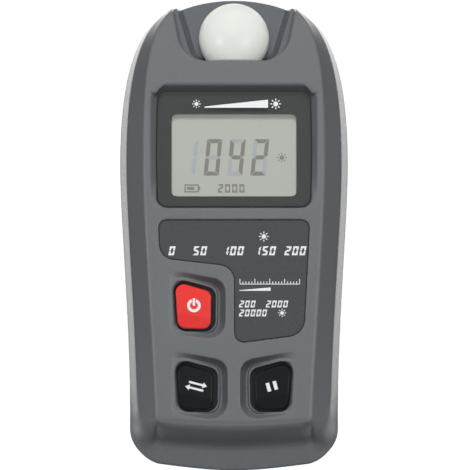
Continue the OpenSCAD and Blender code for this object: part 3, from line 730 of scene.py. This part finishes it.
def stacked(loops, height):
    """Closed skin through loops of points, each at its own drop below a surface."""
    n = len(loops[0][0])
    points = [(x, y, height(x, y) - drop) for loop, drop in loops for x, y in loop]
    faces = [tuple(range(n))]
    for row in range(len(loops) - 1):
        for i in range(n):
            k = (i + 1) % n
            faces.append((row * n + i, (row + 1) * n + i, (row + 1) * n + k, row * n + k))
    faces.append(tuple(range(len(points) - 1, len(points) - n - 1, -1)))
    return points, faces


def printed(name, shapes, height, finish, body):
    """Thin plates of ink that lie on a surface given by its height."""
    points = []
    faces = []
    for shape in shapes:
        if not anticlockwise(*shape.T):
            shape = shape[::-1]
        n = len(shape)
        base = len(points)
        for lift in (LIFT, LIFT + INK_T):
            points += [(x, y, height(x, y) + lift) for x, y in shape]
        faces.append(range(base + n - 1, base - 1, -1))
        faces.append(range(base + n, base + 2 * n))
        for i in range(n):
            k = (i + 1) % n
            faces.append((base + i, base + k, base + n + k, base + n + i))
    piece(name, points, faces, finish, body, smooth=False)


# Shells

def flank_field(grid):
    """Side of the front shell, from the joint to the face's edge."""
    x, y = grid.plan
    deep = -distance(body_outline(), x, y)
    past = -distance(face_outline(), x, y)
    share = np.clip(deep / np.maximum(deep - past, 0.01), 0, 1)
    angle = np.arctan2(TURN_Y - y, np.abs(x) - TURN_X)
    start = mix(TURN_HIGH, TURN_LOW, ease((TURN_SHARE - share) / TURN_SHARE_RUN))
    toe = ease((angle - start) / (TURN_END - start))
    turn = ease((angle + TURN_LOW) / (TURN_END + TURN_LOW))
    up = mix(profile(FLANK, share, FLANK_SOFT), profile(TOE, share, TOE_SOFT), toe)
    up += CORNER_LIFT * (1 - share) * 4 * turn * (1 - turn)
    height = mix(SPLIT_Z, face_z(np.maximum(y, FACE_LOW)), up)
    corner = ease((angle - CORNER_START) / CORNER_RUN) * ease((TURN_END - angle) / CORNER_END_RUN)
    corner *= ease((CORNER_SHARE - share) / CORNER_SHARE_RUN)
    height = mix(height, soften(height, round(2 * (CORNER_SOFT / grid.step) ** 2)), corner)
    over = grid.over(height + np.maximum(past, 0))
    edge = -deep[:, :, None]
    return mix(both(over, edge), both(over, edge, TOE_EDGE_R), toe[:, :, None])


def key_opening(grid, key):
    """Hole that a key stands in, set off toward the deep side of its scoop."""
    u, v = key_place(key, *grid.plan)
    return distance(KEY_OUTLINE, u - GAP_SHIFT, v)[:, :, None] - CAP_GAP


def neck_bore(grid, fit):
    """Hole for the ball's neck, along the head."""
    hole = np.hypot(grid.x, grid.z - BALL_Z) - NECK_R - fit
    return both(both(hole, NECK_END - NECK_PAST - grid.y), grid.y - FLOOR_Y - NECK_PAST)


def front_hollow(grid, side, mouth, pane):
    """Room inside the front shell, around the pane's pad, the keys' wells and the screw posts."""
    hollow = both(side, grid.over(face_z(grid.plan[1]))) + WALL
    hollow = cut(hollow, mouth - NOTCH_WALL)
    pad_z = pane_z(LENS_HIGH) - LENS_T - MASK_T - PAD_T
    hollow = cut(hollow, both(pane - PAD_REACH, pad_z - grid.z))
    for key in KEYS.values():
        near = distance(KEY_OUTLINE, *key_place(key, *grid.plan))[:, :, None]
        collar = both(near - COLLAR_REACH, face_z(key.y) - COLLAR_DEPTH - grid.z)
        well = cut(near - WELL_REACH, key_opening(grid, key) - SHADE_SKIRT_REACH - SHADE_SKIRT_GAP)
        hollow = cut(hollow, collar)
        hollow = cut(hollow, both(well, face_z(key.y) - WELL_DEPTH - grid.z))
    for x, y in SCREWS:
        hollow = cut(hollow, grid.posts(x, y, FRONT_POST_R))
    return hollow


def front_shell():
    half_w = BODY_W / 2
    grid = Grid((-half_w, -HALF_L, SPLIT_Z), (half_w, HALF_L, BODY_T), FRONT_AIR, FRONT_STEP)
    side = flank_field(grid)
    mouth = grid.outline(notch_outline(MOUTH_W, MOUTH_Y, MOUTH_SLOPE, MOUTH_R))
    pane = grid.outline(pane_outline())
    label = grid.outline(label_outline())
    field = both(side, grid.over(face_map(grid)), CREASE_R)
    draft = MOUTH_DRAFT * (BODY_T - grid.z) / (BODY_T - SPLIT_Z)
    field = cut(field, mouth + draft, MOUTH_EDGE_R)
    field = both(field, SPLIT_Z - grid.z, SEAM_R)
    field = cut(field, front_hollow(grid, side, mouth, pane))
    field = cut(field, both(pane - FIT, pane_z(grid.y) - LENS_T - MASK_T - grid.z), LENS_EDGE_R)
    view_x = VIEW_W / 2 + VIEW_ROOM
    view_y = VIEW_H / 2 + VIEW_ROOM
    field = cut(field, grid.box((-view_x, VIEW_Y - view_y, 0), (view_x, VIEW_Y + view_y, FAR)))
    field = cut(field, both(label - FIT, label_z(grid.y) - LABEL_T - LABEL_BED - grid.z))
    groove = np.abs(label - LABEL_GROOVE) - LABEL_GROOVE_W / 2
    field = cut(field, both(groove, label_z(grid.y) - LABEL_GROOVE_D - grid.z))
    for key in KEYS.values():
        field = cut(field, both(key_opening(grid, key), GAP_LOW - grid.z), GAP_EDGE_R)
    field = cut(field, neck_bore(grid, FRONT_NECK_FIT))
    points, faces = surface_net(field, grid)
    obj = piece("front_housing", points, faces, GREY, "housing", ["front_shell"])
    thin_out(obj, FRONT_KEEP)


def rear_hollow(grid, deep, notch):
    """Room inside the rear shell, around the screw posts, the door's track and the battery bay."""
    hollow = both(profile(REAR_INSIDE, grid.z, REAR_SOFT) - deep, WALL - grid.z)
    hollow = cut(hollow, notch - NOTCH_WALL)
    for x, y in SCREWS:
        hollow = cut(hollow, grid.posts(x, y, REAR_POST_R))
    track_x = DOOR_W / 2 + DOOR_LIP + TRACK_WALL
    hollow = cut(hollow, grid.box((-track_x, -FAR, 0), (track_x, DOOR_END + TRACK_STOP, TRACK_ROOF)))
    bay_x = BAY_W / 2 + BAY_RIB
    return cut(hollow, grid.box((-bay_x, BAY_Y - BAY_RIB, 0), (bay_x, BAY_END + BAY_RIB, FAR)))


def door_track(grid):
    """Slot for the battery door, with a groove for its lips and a pocket for its tongue."""
    slot_x = DOOR_W / 2 + DOOR_FIT
    lip_x = slot_x + DOOR_LIP
    tongue_x = DOOR_W / 2 - TONGUE_SIDE
    slot = grid.box((-slot_x, -FAR, -FAR), (slot_x, DOOR_END, TRACK_TOP))
    groove = grid.box((-lip_x, -FAR, TRACK_Z), (lip_x, DOOR_END, TRACK_TOP))
    tongue = grid.box((-tongue_x, 0, TRACK_Z), (tongue_x, DOOR_END + TONGUE_L, TRACK_TOP))
    return either(either(slot, groove), tongue)


def rear_shell():
    half_w = BODY_W / 2
    grid = Grid((-half_w, -HALF_L, 0), (half_w, HALF_L, SPLIT_Z), REAR_AIR, REAR_STEP)
    deep = -grid.outline(body_outline())
    notch = grid.outline(notch_outline(NOTCH_W, FLOOR_Y, NOTCH_SLOPE, NOTCH_R))
    side = profile(REAR_SIDE, grid.z, REAR_SOFT)
    slope = np.gradient(side, grid.step, axis=2)
    field = (side - deep) / np.sqrt(1 + slope * slope)
    field = both(field, -grid.z, BACK_R)
    field = both(field, grid.z - SPLIT_Z, SEAM_R)
    field = cut(field, rear_hollow(grid, deep, notch))
    field = cut(field, grid.box((-BAY_W / 2, BAY_Y, -FAR), (BAY_W / 2, BAY_END, BAY_TOP)), BACK_R)
    field = cut(field, door_track(grid))
    draft = NOTCH_DRAFT * (SPLIT_Z - grid.z) / (SPLIT_Z - NOTCH_BACK)
    field = cut(field, both(notch + draft, NOTCH_BACK - grid.z), NOTCH_EDGE_R)
    ball = np.sqrt(grid.x ** 2 + (grid.y - DOME_Y) ** 2 + (grid.z - BALL_Z) ** 2) - DOME_R
    field = cut(field, ball - BALL_FIT)
    field = cut(field, neck_bore(grid, REAR_NECK_FIT))
    for x, y in SCREWS:
        head = both(grid.posts(x, y, SCREW_HEAD_R), grid.z - SCREW_HEAD_Z)
        field = cut(field, head, BACK_R)
        field = cut(field, grid.posts(x, y, SCREW_R))
    field = cut(field, grid.box(SENSOR_SLOT_LOW, SENSOR_SLOT_HIGH))
    points, faces = surface_net(field, grid)
    obj = piece("rear_housing", points, faces, SHADED_REAR_GREY, "housing", ["rear_shell"])
    thin_out(obj, REAR_KEEP)


# Keys, ball and pane

def key_cap(name, finish):
    """Key on its stem, and the dark skirt around its foot, whose dark colour is painted shade in the
    gap.
    """
    key = KEYS[name]
    low = key.x - KEY_W / 2, key.y - KEY_L / 2, PLUNGER_TOP
    high = key.x + KEY_W / 2, key.y + KEY_L / 2, PLUNGER_TOP + KEY_TALL
    grid = Grid(low, high, KEY_AIR, KEY_STEP)
    u, v = key_place(key, *grid.plan)
    under_z = face_z(key.y) - SCOOP_DEPTH - KEY_DEPTH
    near = distance(KEY_OUTLINE, u, v)[:, :, None]
    field = both(near, grid.over(soften(key_top(key, u, v), 3)), KEY_EDGE_R)
    field = both(field, under_z - grid.z)
    stem = np.hypot(u, v)[:, :, None] - STEM_R
    stem = both(stem, both(grid.z - under_z - SHADE_SKIRT_T, PLUNGER_TOP - grid.z))
    points, faces = surface_net(either(field, stem), grid)
    body = name + "_button"
    obj = piece(name + "_cap", points, faces, finish, body, [name + "_key"])
    thin_out(obj, KEY_KEEP)
    # The skirt: a dark ring whose colour paints the shade deep in the key's gap
    outer = inset(KEY_OUTLINE + (GAP_SHIFT, 0), -CAP_GAP - SHADE_SKIRT_REACH)
    inner = inset(KEY_OUTLINE, SHADE_SKIRT_LAP)
    outer, inner = (loop * (key.side, 1) + (key.x, key.y) for loop in (outer, inner))
    ring(name + "_shade_skirt", outer, inner, lambda x, y: under_z, DARK, body, SHADE_SKIRT_T)


def ball_rows():
    """Radius and place of the hollow ball's outline, from its top around to its inside."""
    seat = BALL_SEAT
    inner_seat = seat + BALL_WALL
    inner_r = DOME_R - BALL_WALL
    flange_y = NECK_END + NECK_FLANGE_T
    outside = np.linspace(math.pi / 2, math.asin((seat - DOME_Y) / DOME_R), BALL_SIDES // 2)
    inside = np.linspace(math.asin((inner_seat - DOME_Y) / inner_r), math.pi / 2, BALL_SIDES // 3)
    rows = [(DOME_R * math.cos(a), DOME_Y + DOME_R * math.sin(a)) for a in outside]
    rows += [(NECK_R, seat), (NECK_R, flange_y), (NECK_R + NECK_FLANGE, flange_y)]
    rows += [(NECK_R + NECK_FLANGE, NECK_END), (NECK_R - NECK_WALL, NECK_END)]
    rows += [(NECK_R - NECK_WALL, inner_seat)]
    return rows + [(inner_r * math.cos(a), DOME_Y + inner_r * math.sin(a)) for a in inside]


def diffuser():
    """Hollow ball on its neck, turned around the head's axis."""
    rows = ball_rows()
    n = BALL_SIDES
    points = [(0, rows[0][1], BALL_Z)]
    for r, y in rows[1:-1]:
        for a in np.linspace(0, 2 * math.pi, n, endpoint=False):
            points.append((r * math.cos(a), y, BALL_Z + r * math.sin(a)))
    points.append((0, rows[-1][1], BALL_Z))
    last = len(points) - 1 - n
    faces = []
    for i in range(n):
        k = (i + 1) % n
        faces.append((0, 1 + i, 1 + k))
        for a in range(1, last, n):
            faces.append((a + k, a + i, a + n + i, a + n + k))
        faces.append((last + k, last + i, len(points) - 1))
    piece("dome", points, faces, DIFFUSER, "housing", ["diffuser_ball"])


def ray_hits(outline, rays):
    """Points of an outline around the view's middle, one for each direction."""
    found = []
    a = outline - (0, VIEW_Y)
    e = np.roll(outline, -1, axis=0) - outline
    for ray in rays:
        down = e[:, 0] * ray[1] - e[:, 1] * ray[0]
        down = np.where(np.abs(down) < 1e-9, 1e-9, down)
        reach = (e[:, 0] * a[:, 1] - e[:, 1] * a[:, 0]) / down
        share = (ray[0] * a[:, 1] - ray[1] * a[:, 0]) / down
        good = (share >= -1e-6) & (share <= 1 + 1e-6) & (reach > 0)
        found.append(ray * reach[good].min() + (0, VIEW_Y))
    return np.array(found)


def display_pane():
    """Clear pane with a rounded rim, its printed mask behind it and the dark line along its rim."""
    edge = pane_outline()
    loops = (
        (inset(edge, LENS_RIM), 0),
        (inset(edge, LENS_RIM_MID[0]), LENS_RIM_MID[1]),
        (edge, LENS_RIM),
        (edge, LENS_T),
    )
    points, faces = stacked(loops, lambda x, y: pane_z(y))
    piece("pane", points, faces, PANE, "housing", ["display_pane"], smooth=False)
    angle = np.linspace(0, 2 * math.pi, MASK_POINTS, endpoint=False)
    rays = directions(angle)
    outer = ray_hits(edge, rays)
    inner = ray_hits(view_outline(), rays)
    behind = lambda x, y: pane_z(y) - LENS_T - MASK_T + LIFT
    thick = MASK_T - 2 * LIFT
    ring("pane_mask", outer, inner, behind, BORDER, "housing", thick, ["pane_border"])
    sunk = lambda x, y: pane_z(y) - LIFT
    ring("pane_rim", edge, inset(edge, LENS_LINE), sunk, LINE, "housing")


# Marks: flat shapes in millimetres, printed as thin plates

DIGITS = {"0": "abcdef", "1": "bc", "2": "abged", "4": "fgbc", "5": "afgcd"}


def place(shapes, x, y, turn=0.0):
    """Shapes turned by an angle and moved."""
    c, s = math.cos(turn), math.sin(turn)
    return [np.array(p) @ ((c, s), (-s, c)) + (x, y) for p in shapes]


def strokes(lit, w, h, t, lean, gap):
    """Segments of a figure, mitred at its corners and pointed at its waist, leaning to the right."""
    x, y = w / 2, h / 2
    end = x - t - gap
    across = np.array(((gap - x, y), (x - gap, y), (end, y - t), (-end, y - t)))
    point = x - t / 2 - gap
    middle = np.array((
        (-end, t / 2), (end, t / 2), (point, 0), (end, -t / 2), (-end, -t / 2), (-point, 0),
    ))
    upright = np.array((
        (-x, y - gap), (t - x, y - t - gap), (t - x, t / 2 + gap), (t / 2 - x, gap), (-x, t / 3 + gap),
    ))
    shapes = {
        "a": across, "d": across * (1, -1), "g": middle, "f": upright,
        "b": upright * (-1, 1), "e": upright * (1, -1), "c": upright * (-1, -1),
    }
    return [shapes[n] + np.outer(shapes[n][:, 1] * lean, (1, 0)) for n in lit]


def number(text, x, y, h, lean=0.2):
    """Plain figures from their left end, on their middle line."""
    w = 0.62 * h
    pitch = 0.84 * h
    found = []
    for i, figure in enumerate(text):
        found += place(strokes(DIGITS[figure], w, h, 0.2 * h, lean, 0.0), x + w / 2 + i * pitch, y)
    return found


def bar(x0, y0, x1, y1):
    return np.array(((x0, y0), (x1, y0), (x1, y1), (x0, y1)))


def wedge(x0, x1, y, thin, thick):
    """Bar that grows from its left end to its right end."""
    return np.array(((x0, y), (x1, y), (x1, y + thick), (x0, y + thin)))


def arc(r0, r1, start, end, n=28):
    """Part of a ring, with angles in degrees."""
    angle = np.radians(np.linspace(start, end, n))
    unit = directions(angle)
    return np.vstack([unit * r1, unit[::-1] * r0])


def sun(x, y, r):
    angle = np.linspace(0, 2 * math.pi, 24, endpoint=False)
    disc = directions(angle) * 0.46 * r
    ray = bar(0.64 * r, -0.1 * r, r, 0.1 * r)
    return place([disc], x, y) + [place([ray], x, y, i * math.pi / 4)[0] for i in range(8)]


def ruler(x0, x1, y, step, tall):
    """Row of ticks, every fifth one taller, on a base line."""
    base = 0.16
    half_tick = 0.09
    ticks = [bar(x0, y, x1, y + base)]
    for i in range(round((x1 - x0) / step) + 1):
        x = x0 + i * step
        top = tall if i % 5 == 0 else 0.55 * tall
        ticks.append(bar(x - half_tick, y + base, x + half_tick, y + top))
    return ticks


def battery(x, y, w, h):
    t = 0.16 * h
    case = [bar(0, 0, w, t), bar(0, h - t, w, h), bar(0, t, t, h - t), bar(w - t, t, w, h - t)]
    knob = bar(w, 0.3 * h, w + t, 0.7 * h)
    charge = bar(2 * t, 2 * t, 0.68 * w, h - 2 * t)
    return place(case + [knob, charge], x, y - h / 2)


def arrow(length, thick):
    head = 2.1 * thick
    tail = length / 2 - head
    return np.array((
        (-length / 2, -thick / 2), (tail, -thick / 2), (tail, -head / 1.5), (length / 2, 0),
        (tail, head / 1.5), (tail, thick / 2), (-length / 2, thick / 2),
    ))


def display_marks():
    """Figures on the display, lit and idle, and a wedge between two suns above it."""
    lit = []
    idle = place(strokes("bc", *FIGURE), FIGURE_X[0], FIGURE_Y)
    for figure, x in zip("042", FIGURE_X[1:]):
        lit += place(strokes(DIGITS[figure], *FIGURE), x, FIGURE_Y)
        unlit = [n for n in "abcdefg" if n not in DIGITS[figure]]
        idle += place(strokes(unlit, *FIGURE), x, FIGURE_Y)
    lit += sun(11.3, 17.9, 1.15)
    lit += battery(-11.7, SMALL_ROW_Y, 3.4, 1.9)
    lit += number("2000", -3.8, SMALL_ROW_Y, 2.0, 0.0)
    flat = lambda x, y: LCD_Z
    printed("display_figures", lit, flat, SEGMENT, "housing")
    printed("display_idle", idle, flat, IDLE, "housing")
    title = sun(-8.8, TITLE_Y, 1.0) + [wedge(-6.9, 8, 29.5, 0.3, 1.9)] + sun(9.8, TITLE_Y, 1.25)
    printed("pane_icons", title, lambda x, y: pane_z(y), PRINT, "housing")


def label_marks():
    """Scale of figures, rule, wedge and ranges on the label, and a dark line around it that is painted
    shadow over the gap at the film's edge.
    """
    ink = sun(7.0, -0.75, 1.15)
    for text, x in SCALE.items():
        ink += number(text, x, SCALE_Y, SCALE_H)
    ink += ruler(1.4, 15.4, RULE_Y, 0.7, 1.3)
    ink += [wedge(RANGE_X, 8.6, WEDGE_Y, 0.15, 0.8)]
    ink += number("200", RANGE_X, RANGE_Y[0], RANGE_H)
    ink += number("2000", 7.6, RANGE_Y[0], RANGE_H)
    ink += number("20000", RANGE_X, RANGE_Y[1], RANGE_H)
    ink += sun(11.3, RANGE_Y[1], 0.95)
    printed("label_marks", ink, lambda x, y: label_z(y), PRINT, "housing")
    # Dark line over the gap around the film: painted shadow of that gap
    edge = label_outline()
    lifted = lambda x, y: label_z(y) + LIFT
    ring("label_gap_shade", edge, inset(edge, -LABEL_SHADOW_LINE), lifted, LINE, "housing")


def key_marks():
    """Power sign, a pair of arrows and a pause sign."""
    power = [arc(0.9, 1.6, 114, 426), bar(-0.28, -0.05, 0.28, 1.7)]
    swap = place([arrow(4.4, 0.5)], 0.3, 0.62) + place([arrow(4.4, 0.5)], -0.3, -0.62, math.pi)
    pause = [bar(-1.25, -1.05, -0.4, 1.05), bar(0.4, -1.05, 1.25, 1.05)]
    tilt = math.radians(15)
    aside = 0.2
    for name, shapes, slot, turn in (
        ("power", power, "red_key", 0),
        ("mode", swap, "black_key", -tilt),
        ("hold", pause, "black_key", tilt),
    ):
        key = KEYS[name]
        top = lambda x, y: key_top(key, *key_place(key, x, y))
        shapes = place(shapes, key.x + aside * key.side, key.y, turn)
        printed(name + "_icon", shapes, top, PRINT, name + "_button")


# Materials

# Ends of the grain's ramp, its depth, and how far it moves the roughness
GRAIN_RAMP = 0.3, 0.7
GRAIN_DEPTH = 0.05 * MM
ROUGHNESS_SPREAD = 0.05
# Where a polished surface smooths out, from 0 face on to 1 edge on
GRAZING = 0.6, 0.85
PANE_MIRROR = 0.06


def linear(r, g, b):
    """Linear values of a screen colour."""
    shares = r / 255, g / 255, b / 255
    return [v / 12.92 if v < 0.04045 else ((v + 0.055) / 1.055) ** 2.4 for v in shares]


def set_inputs(node, values):
    """Plain numbers and colours on a node's own sockets."""
    for socket, value in values.items():
        node.inputs[socket].default_value = value


def new_material(name):
    """Empty material, its nodes, their link function and its shader."""
    mat = bpy.data.materials.new(name)
    mat.use_nodes = True
    tree = mat.node_tree
    return mat, tree.nodes, tree.links.new, tree.nodes["Principled BSDF"]


def material(name, colour, roughness, spread, grain, bump=0.0, polish=1.0, **sockets):
    """Principled surface whose colour and roughness vary a little over a fine grain.

    Seen along the surface, its roughness falls to the share that polish gives.
    """
    mat, nodes, link, shader = new_material(name)
    where = nodes.new("ShaderNodeTexCoord")
    noise = nodes.new("ShaderNodeTexNoise")
    set_inputs(noise, {"Scale": grain, "Detail": 3})
    link(where.outputs["Object"], noise.inputs["Vector"])
    ramp = nodes.new("ShaderNodeValToRGB")
    dark, light = ramp.color_ramp.elements
    dark.position, light.position = GRAIN_RAMP
    dark.color = [c * (1 - spread) for c in linear(*colour)] + [1]
    light.color = [min(1, c * (1 + spread)) for c in linear(*colour)] + [1]
    link(noise.outputs["Fac"], ramp.inputs["Fac"])
    link(ramp.outputs["Color"], shader.inputs["Base Color"])
    wide = nodes.new("ShaderNodeMapRange")
    low = max(0.0, roughness - ROUGHNESS_SPREAD)
    high = min(1.0, roughness + ROUGHNESS_SPREAD)
    set_inputs(wide, {"To Min": low, "To Max": high})
    link(noise.outputs["Fac"], wide.inputs["Value"])
    facing = nodes.new("ShaderNodeLayerWeight")
    smooth = nodes.new("ShaderNodeMapRange")
    set_inputs(smooth, {"From Min": GRAZING[0], "From Max": GRAZING[1], "To Min": 1, "To Max": polish})
    link(facing.outputs["Facing"], smooth.inputs["Value"])
    product = nodes.new("ShaderNodeMath")
    product.operation = "MULTIPLY"
    link(wide.outputs["Result"], product.inputs[0])
    link(smooth.outputs["Result"], product.inputs[1])
    link(product.outputs["Value"], shader.inputs["Roughness"])
    if bump:
        relief = nodes.new("ShaderNodeBump")
        set_inputs(relief, {"Strength": bump, "Distance": GRAIN_DEPTH})
        link(noise.outputs["Fac"], relief.inputs["Height"])
        link(relief.outputs["Normal"], shader.inputs["Normal"])
    set_inputs(shader, {socket.replace("_", " "): value for socket, value in sockets.items()})
    return mat


def clear_material(name):
    """Thin clear plastic that lets light straight through and mirrors it edge on."""
    mat, nodes, link, shader = new_material(name)
    set_inputs(shader, {"Base Color": (1, 1, 1, 1), "Roughness": 0.03, "Metallic": 1})
    clear = nodes.new("ShaderNodeBsdfTransparent")
    weight = nodes.new("ShaderNodeLayerWeight")
    set_inputs(weight, {"Blend": PANE_MIRROR})
    blend = nodes.new("ShaderNodeMixShader")
    link(weight.outputs["Facing"], blend.inputs["Fac"])
    link(clear.outputs["BSDF"], blend.inputs[1])
    link(shader.outputs["BSDF"], blend.inputs[2])
    link(blend.outputs["Shader"], nodes["Material Output"].inputs["Surface"])
    return mat


# Name, colour, roughness, spread of the colour and fineness of the grain
MOULDED = {"bump": 0.25, "polish": 0.3, "Specular_IOR_Level": 0.4}
GREY = material("grey_plastic", (113, 116, 119), 0.45, 0.05, 2200, **MOULDED)
# Rear shell and battery door: the grey plastic made darker, as painted shade for the notch wall behind
# the ball
SHADED_REAR_GREY = material("shaded_rear_grey_plastic", (105, 109, 113), 0.45, 0.05, 2200, **MOULDED)
RED = material("red_plastic", (238, 64, 60), 0.4, 0.03, 1500, bump=0.05, Specular_IOR_Level=0.3)
BLACK = material("black_plastic", (32, 33, 34), 0.42, 0.06, 1800, bump=0.1, Specular_IOR_Level=0.2)
OPAL = {"Specular_IOR_Level": 0.3, "Diffuse_Roughness": 0.6}
DIFFUSER = material("opal_plastic", (230, 232, 227), 0.32, 0.01, 400, **OPAL)
PANE = clear_material("clear_plastic")
BORDER = material("border_ink", (68, 69, 69), 0.5, 0.04, 2600)
FILM = material("label_film_print", (76, 77, 79), 0.5, 0.12, 3200, bump=0.2)
LCD = material("display_glass", (180, 183, 175), 0.3, 0.01, 900)
SEGMENT = material("display_figure", (132, 132, 127), 0.4, 0.03, 900)
IDLE = material("display_idle", (166, 173, 178), 0.4, 0.02, 900)
# dark_line: along the pane's rim, and around the label film as painted shadow of its gap
LINE = material("dark_line", (40, 41, 42), 0.5, 0.05, 2000)
PRINT = material("white_print", (236, 238, 240), 0.5, 0.02, 1500)
WHITE = material("white_plastic", (226, 227, 223), 0.5, 0.02, 900)
RUBBER = material("rubber_strip", (200, 138, 160), 0.7, 0.05, 900)
BOARD = material("board_green", (46, 106, 70), 0.45, 0.1, 700)
# dark_plastic also colours the key skirts, as painted shade in the key gaps
DARK = material("dark_plastic", (38, 40, 42), 0.5, 0.06, 900)
METAL = material("bright_metal", (196, 199, 202), 0.25, 0.04, 900, Metallic=1.0)
STEEL = material("screw_steel", (150, 153, 156), 0.3, 0.06, 1200, bump=0.1, Metallic=1.0)
GOLD = material("gold_pin", (212, 184, 96), 0.25, 0.04, 900, Metallic=1.0)
SLEEVE = material("capacitor_sleeve", (51, 71, 92), 0.4, 0.05, 900)
GREEN_GLASS = material("filter_glass", (127, 183, 160), 0.1, 0.02, 300)
CELL = material("cell_jacket", (59, 95, 138), 0.35, 0.05, 500)

CAD_FINISHES = (
    (SHADED_REAR_GREY, "battery_door"),
    (FILM, "label_film"),
    (LCD, "lcd_panel"),
    (WHITE, "lcd_reflector lcd_frame"),
    (RUBBER, "elastomer_strips"),
    (BOARD, "main_board sensor_board"),
    (DARK, "controller_chip chip_resistors switch_bodies sensor_holder photodiode"),
    (DARK, "power_plunger mode_plunger hold_plunger"),
    (METAL, "clock_crystal contact_springs bridge_plate terminal_plates"),
    (SLEEVE, "capacitors"),
    (GREEN_GLASS, "colour_filter"),
    (GOLD, "sensor_pins"),
    (CELL, "left_cell right_cell"),
    (STEEL, "housing_screws board_screws"),
)


def dress_solids():
    """Finish of the solids that are kept."""
    for finish, nodes in CAD_FINISHES:
        for node in nodes.split():
            slots = bpy.data.objects[node].data.materials
            slots.clear()
            slots.append(finish)


# Stage: white sheets in millimetres, each seen by one kind of ray, and lamps in metres

FLOOR_HALF = 800
FLOOR_Z = -0.2
CARD_Z = -0.1
RIM_REACH = 15
TOE_REACH = 25
CORNER_REACH = 30
CORNER_END = HEEL_Y - 1
RIM_START = 14 - HALF_L
HEAD_START = 33
FLOOR_GLOW = 1.0
TOE_GLOW = 0.7
RIM_GLOW = 0.37
HEAD_GLOW = 0.27
CORNER_GLOW = 3.5
LAMPS = {"key_light": (0.0, 0.07, 0.797), "head_light": (0.0, 0.45, 0.66)}
LAMP_SIZE = 0.2
LAMP_POWER = 3.2
# Lamps that show only in gloss, aimed at the ball, with their power
GLINTS = {
    "glint_top": ((-0.06, 0.25, 0.75), 0.2),
    "glint_left": ((-0.6, -0.1, 0.5), 1.5),
    "glint_right": ((0.5, -0.15, 0.6), 1.5),
}
GLINT_SIZE = 0.22
GLINT_AIM = 0, BALL_Y * MM, BALL_Z * MM
CAMERA_PLACE = 0.00024, -0.0004, 0.65
CAMERA_LENS = 203.6
CAMERA_SENSOR = 36
WORLD_GLOW = 0.05


def add_card(name, low, high, z, glow, rays):
    """White sheet under the part, between two corners."""
    mesh = bpy.data.meshes.new(name)
    corners = np.column_stack([bar(*low, *high), [z] * 4])
    mesh.from_pydata((corners * MM).tolist(), [], [(0, 1, 2, 3)])
    mat, _, _, shader = new_material(name)
    set_inputs(shader, {"Base Color": (0.9, 0.9, 0.9, 1), "Roughness": 0.9})
    set_inputs(shader, {"Emission Color": (1, 1, 1, 1), "Emission Strength": glow})
    mesh.materials.append(mat)
    card = new_object(name, mesh)
    card.visible_camera = rays == "camera"
    card.visible_glossy = rays == "glossy"
    card.visible_diffuse = rays == "diffuse"


def add_cards():
    """Floor for the camera, sheets that the flanks mirror, and sheets that light the toe's corners."""
    add_card("floor", [-FLOOR_HALF] * 2, [FLOOR_HALF] * 2, FLOOR_Z, FLOOR_GLOW, "camera")
    half_w = BODY_W / 2
    for name, reach, low, high, glow in (
        ("toe_card", TOE_REACH, -HALF_L - TOE_REACH, RIM_START, TOE_GLOW),
        ("rim_card", RIM_REACH, RIM_START, HEAD_START, RIM_GLOW),
        ("head_card", RIM_REACH, HEAD_START, HALF_L + RIM_REACH, HEAD_GLOW),
    ):
        add_card(name, (-half_w - reach, low), (half_w + reach, high), CARD_Z, glow, "glossy")
    low = -HALF_L - CORNER_REACH
    for name, left, right in (
        ("corner_card_left", -half_w - CORNER_REACH, -half_w),
        ("corner_card_right", half_w, half_w + CORNER_REACH),
    ):
        add_card(name, (left, low), (right, CORNER_END), CARD_Z, CORNER_GLOW, "diffuse")


def add_lamp(name, at, aim, size, power):
    """Round lamp turned toward a point."""
    data = bpy.data.lights.new(name, "AREA")
    data.shape = "DISK"
    data.size = size
    data.energy = power
    lamp = new_object(name, data)
    lamp.location = at
    away = [p - a for p, a in zip(at, aim)]
    flat = math.hypot(away[0], away[1])
    lamp.rotation_euler = (math.atan2(flat, away[2]), 0, math.atan2(away[0], -away[1]))
    return lamp


def add_lamps():
    for name, at in LAMPS.items():
        lamp = add_lamp(name, at, (0, 0, 0), LAMP_SIZE, LAMP_POWER)
        lamp.visible_glossy = False
    for name, (at, power) in GLINTS.items():
        glint = add_lamp(name, at, GLINT_AIM, GLINT_SIZE, power)
        glint.visible_diffuse = False


def add_camera():
    """Straight down from about 65 cm, as the photograph is taken."""
    data = bpy.data.cameras.new("camera")
    data.sensor_width = CAMERA_SENSOR
    data.lens = CAMERA_LENS
    camera = new_object("camera", data)
    camera.location = CAMERA_PLACE
    bpy.context.scene.camera = camera


def add_world():
    """Faint even light from all around."""
    scene = bpy.context.scene
    world = scene.world or bpy.data.worlds.new("world")
    scene.world = world
    world.use_nodes = True
    set_inputs(world.node_tree.nodes["Background"], {"Color": (1, 1, 1, 1), "Strength": WORLD_GLOW})
    scene.view_settings.view_transform = "Standard"


front_shell()
rear_shell()
key_cap("power", RED)
key_cap("mode", BLACK)
key_cap("hold", BLACK)
diffuser()
display_pane()
display_marks()
label_marks()
key_marks()
dress_solids()
add_cards()
add_lamps()
add_camera()
add_world()
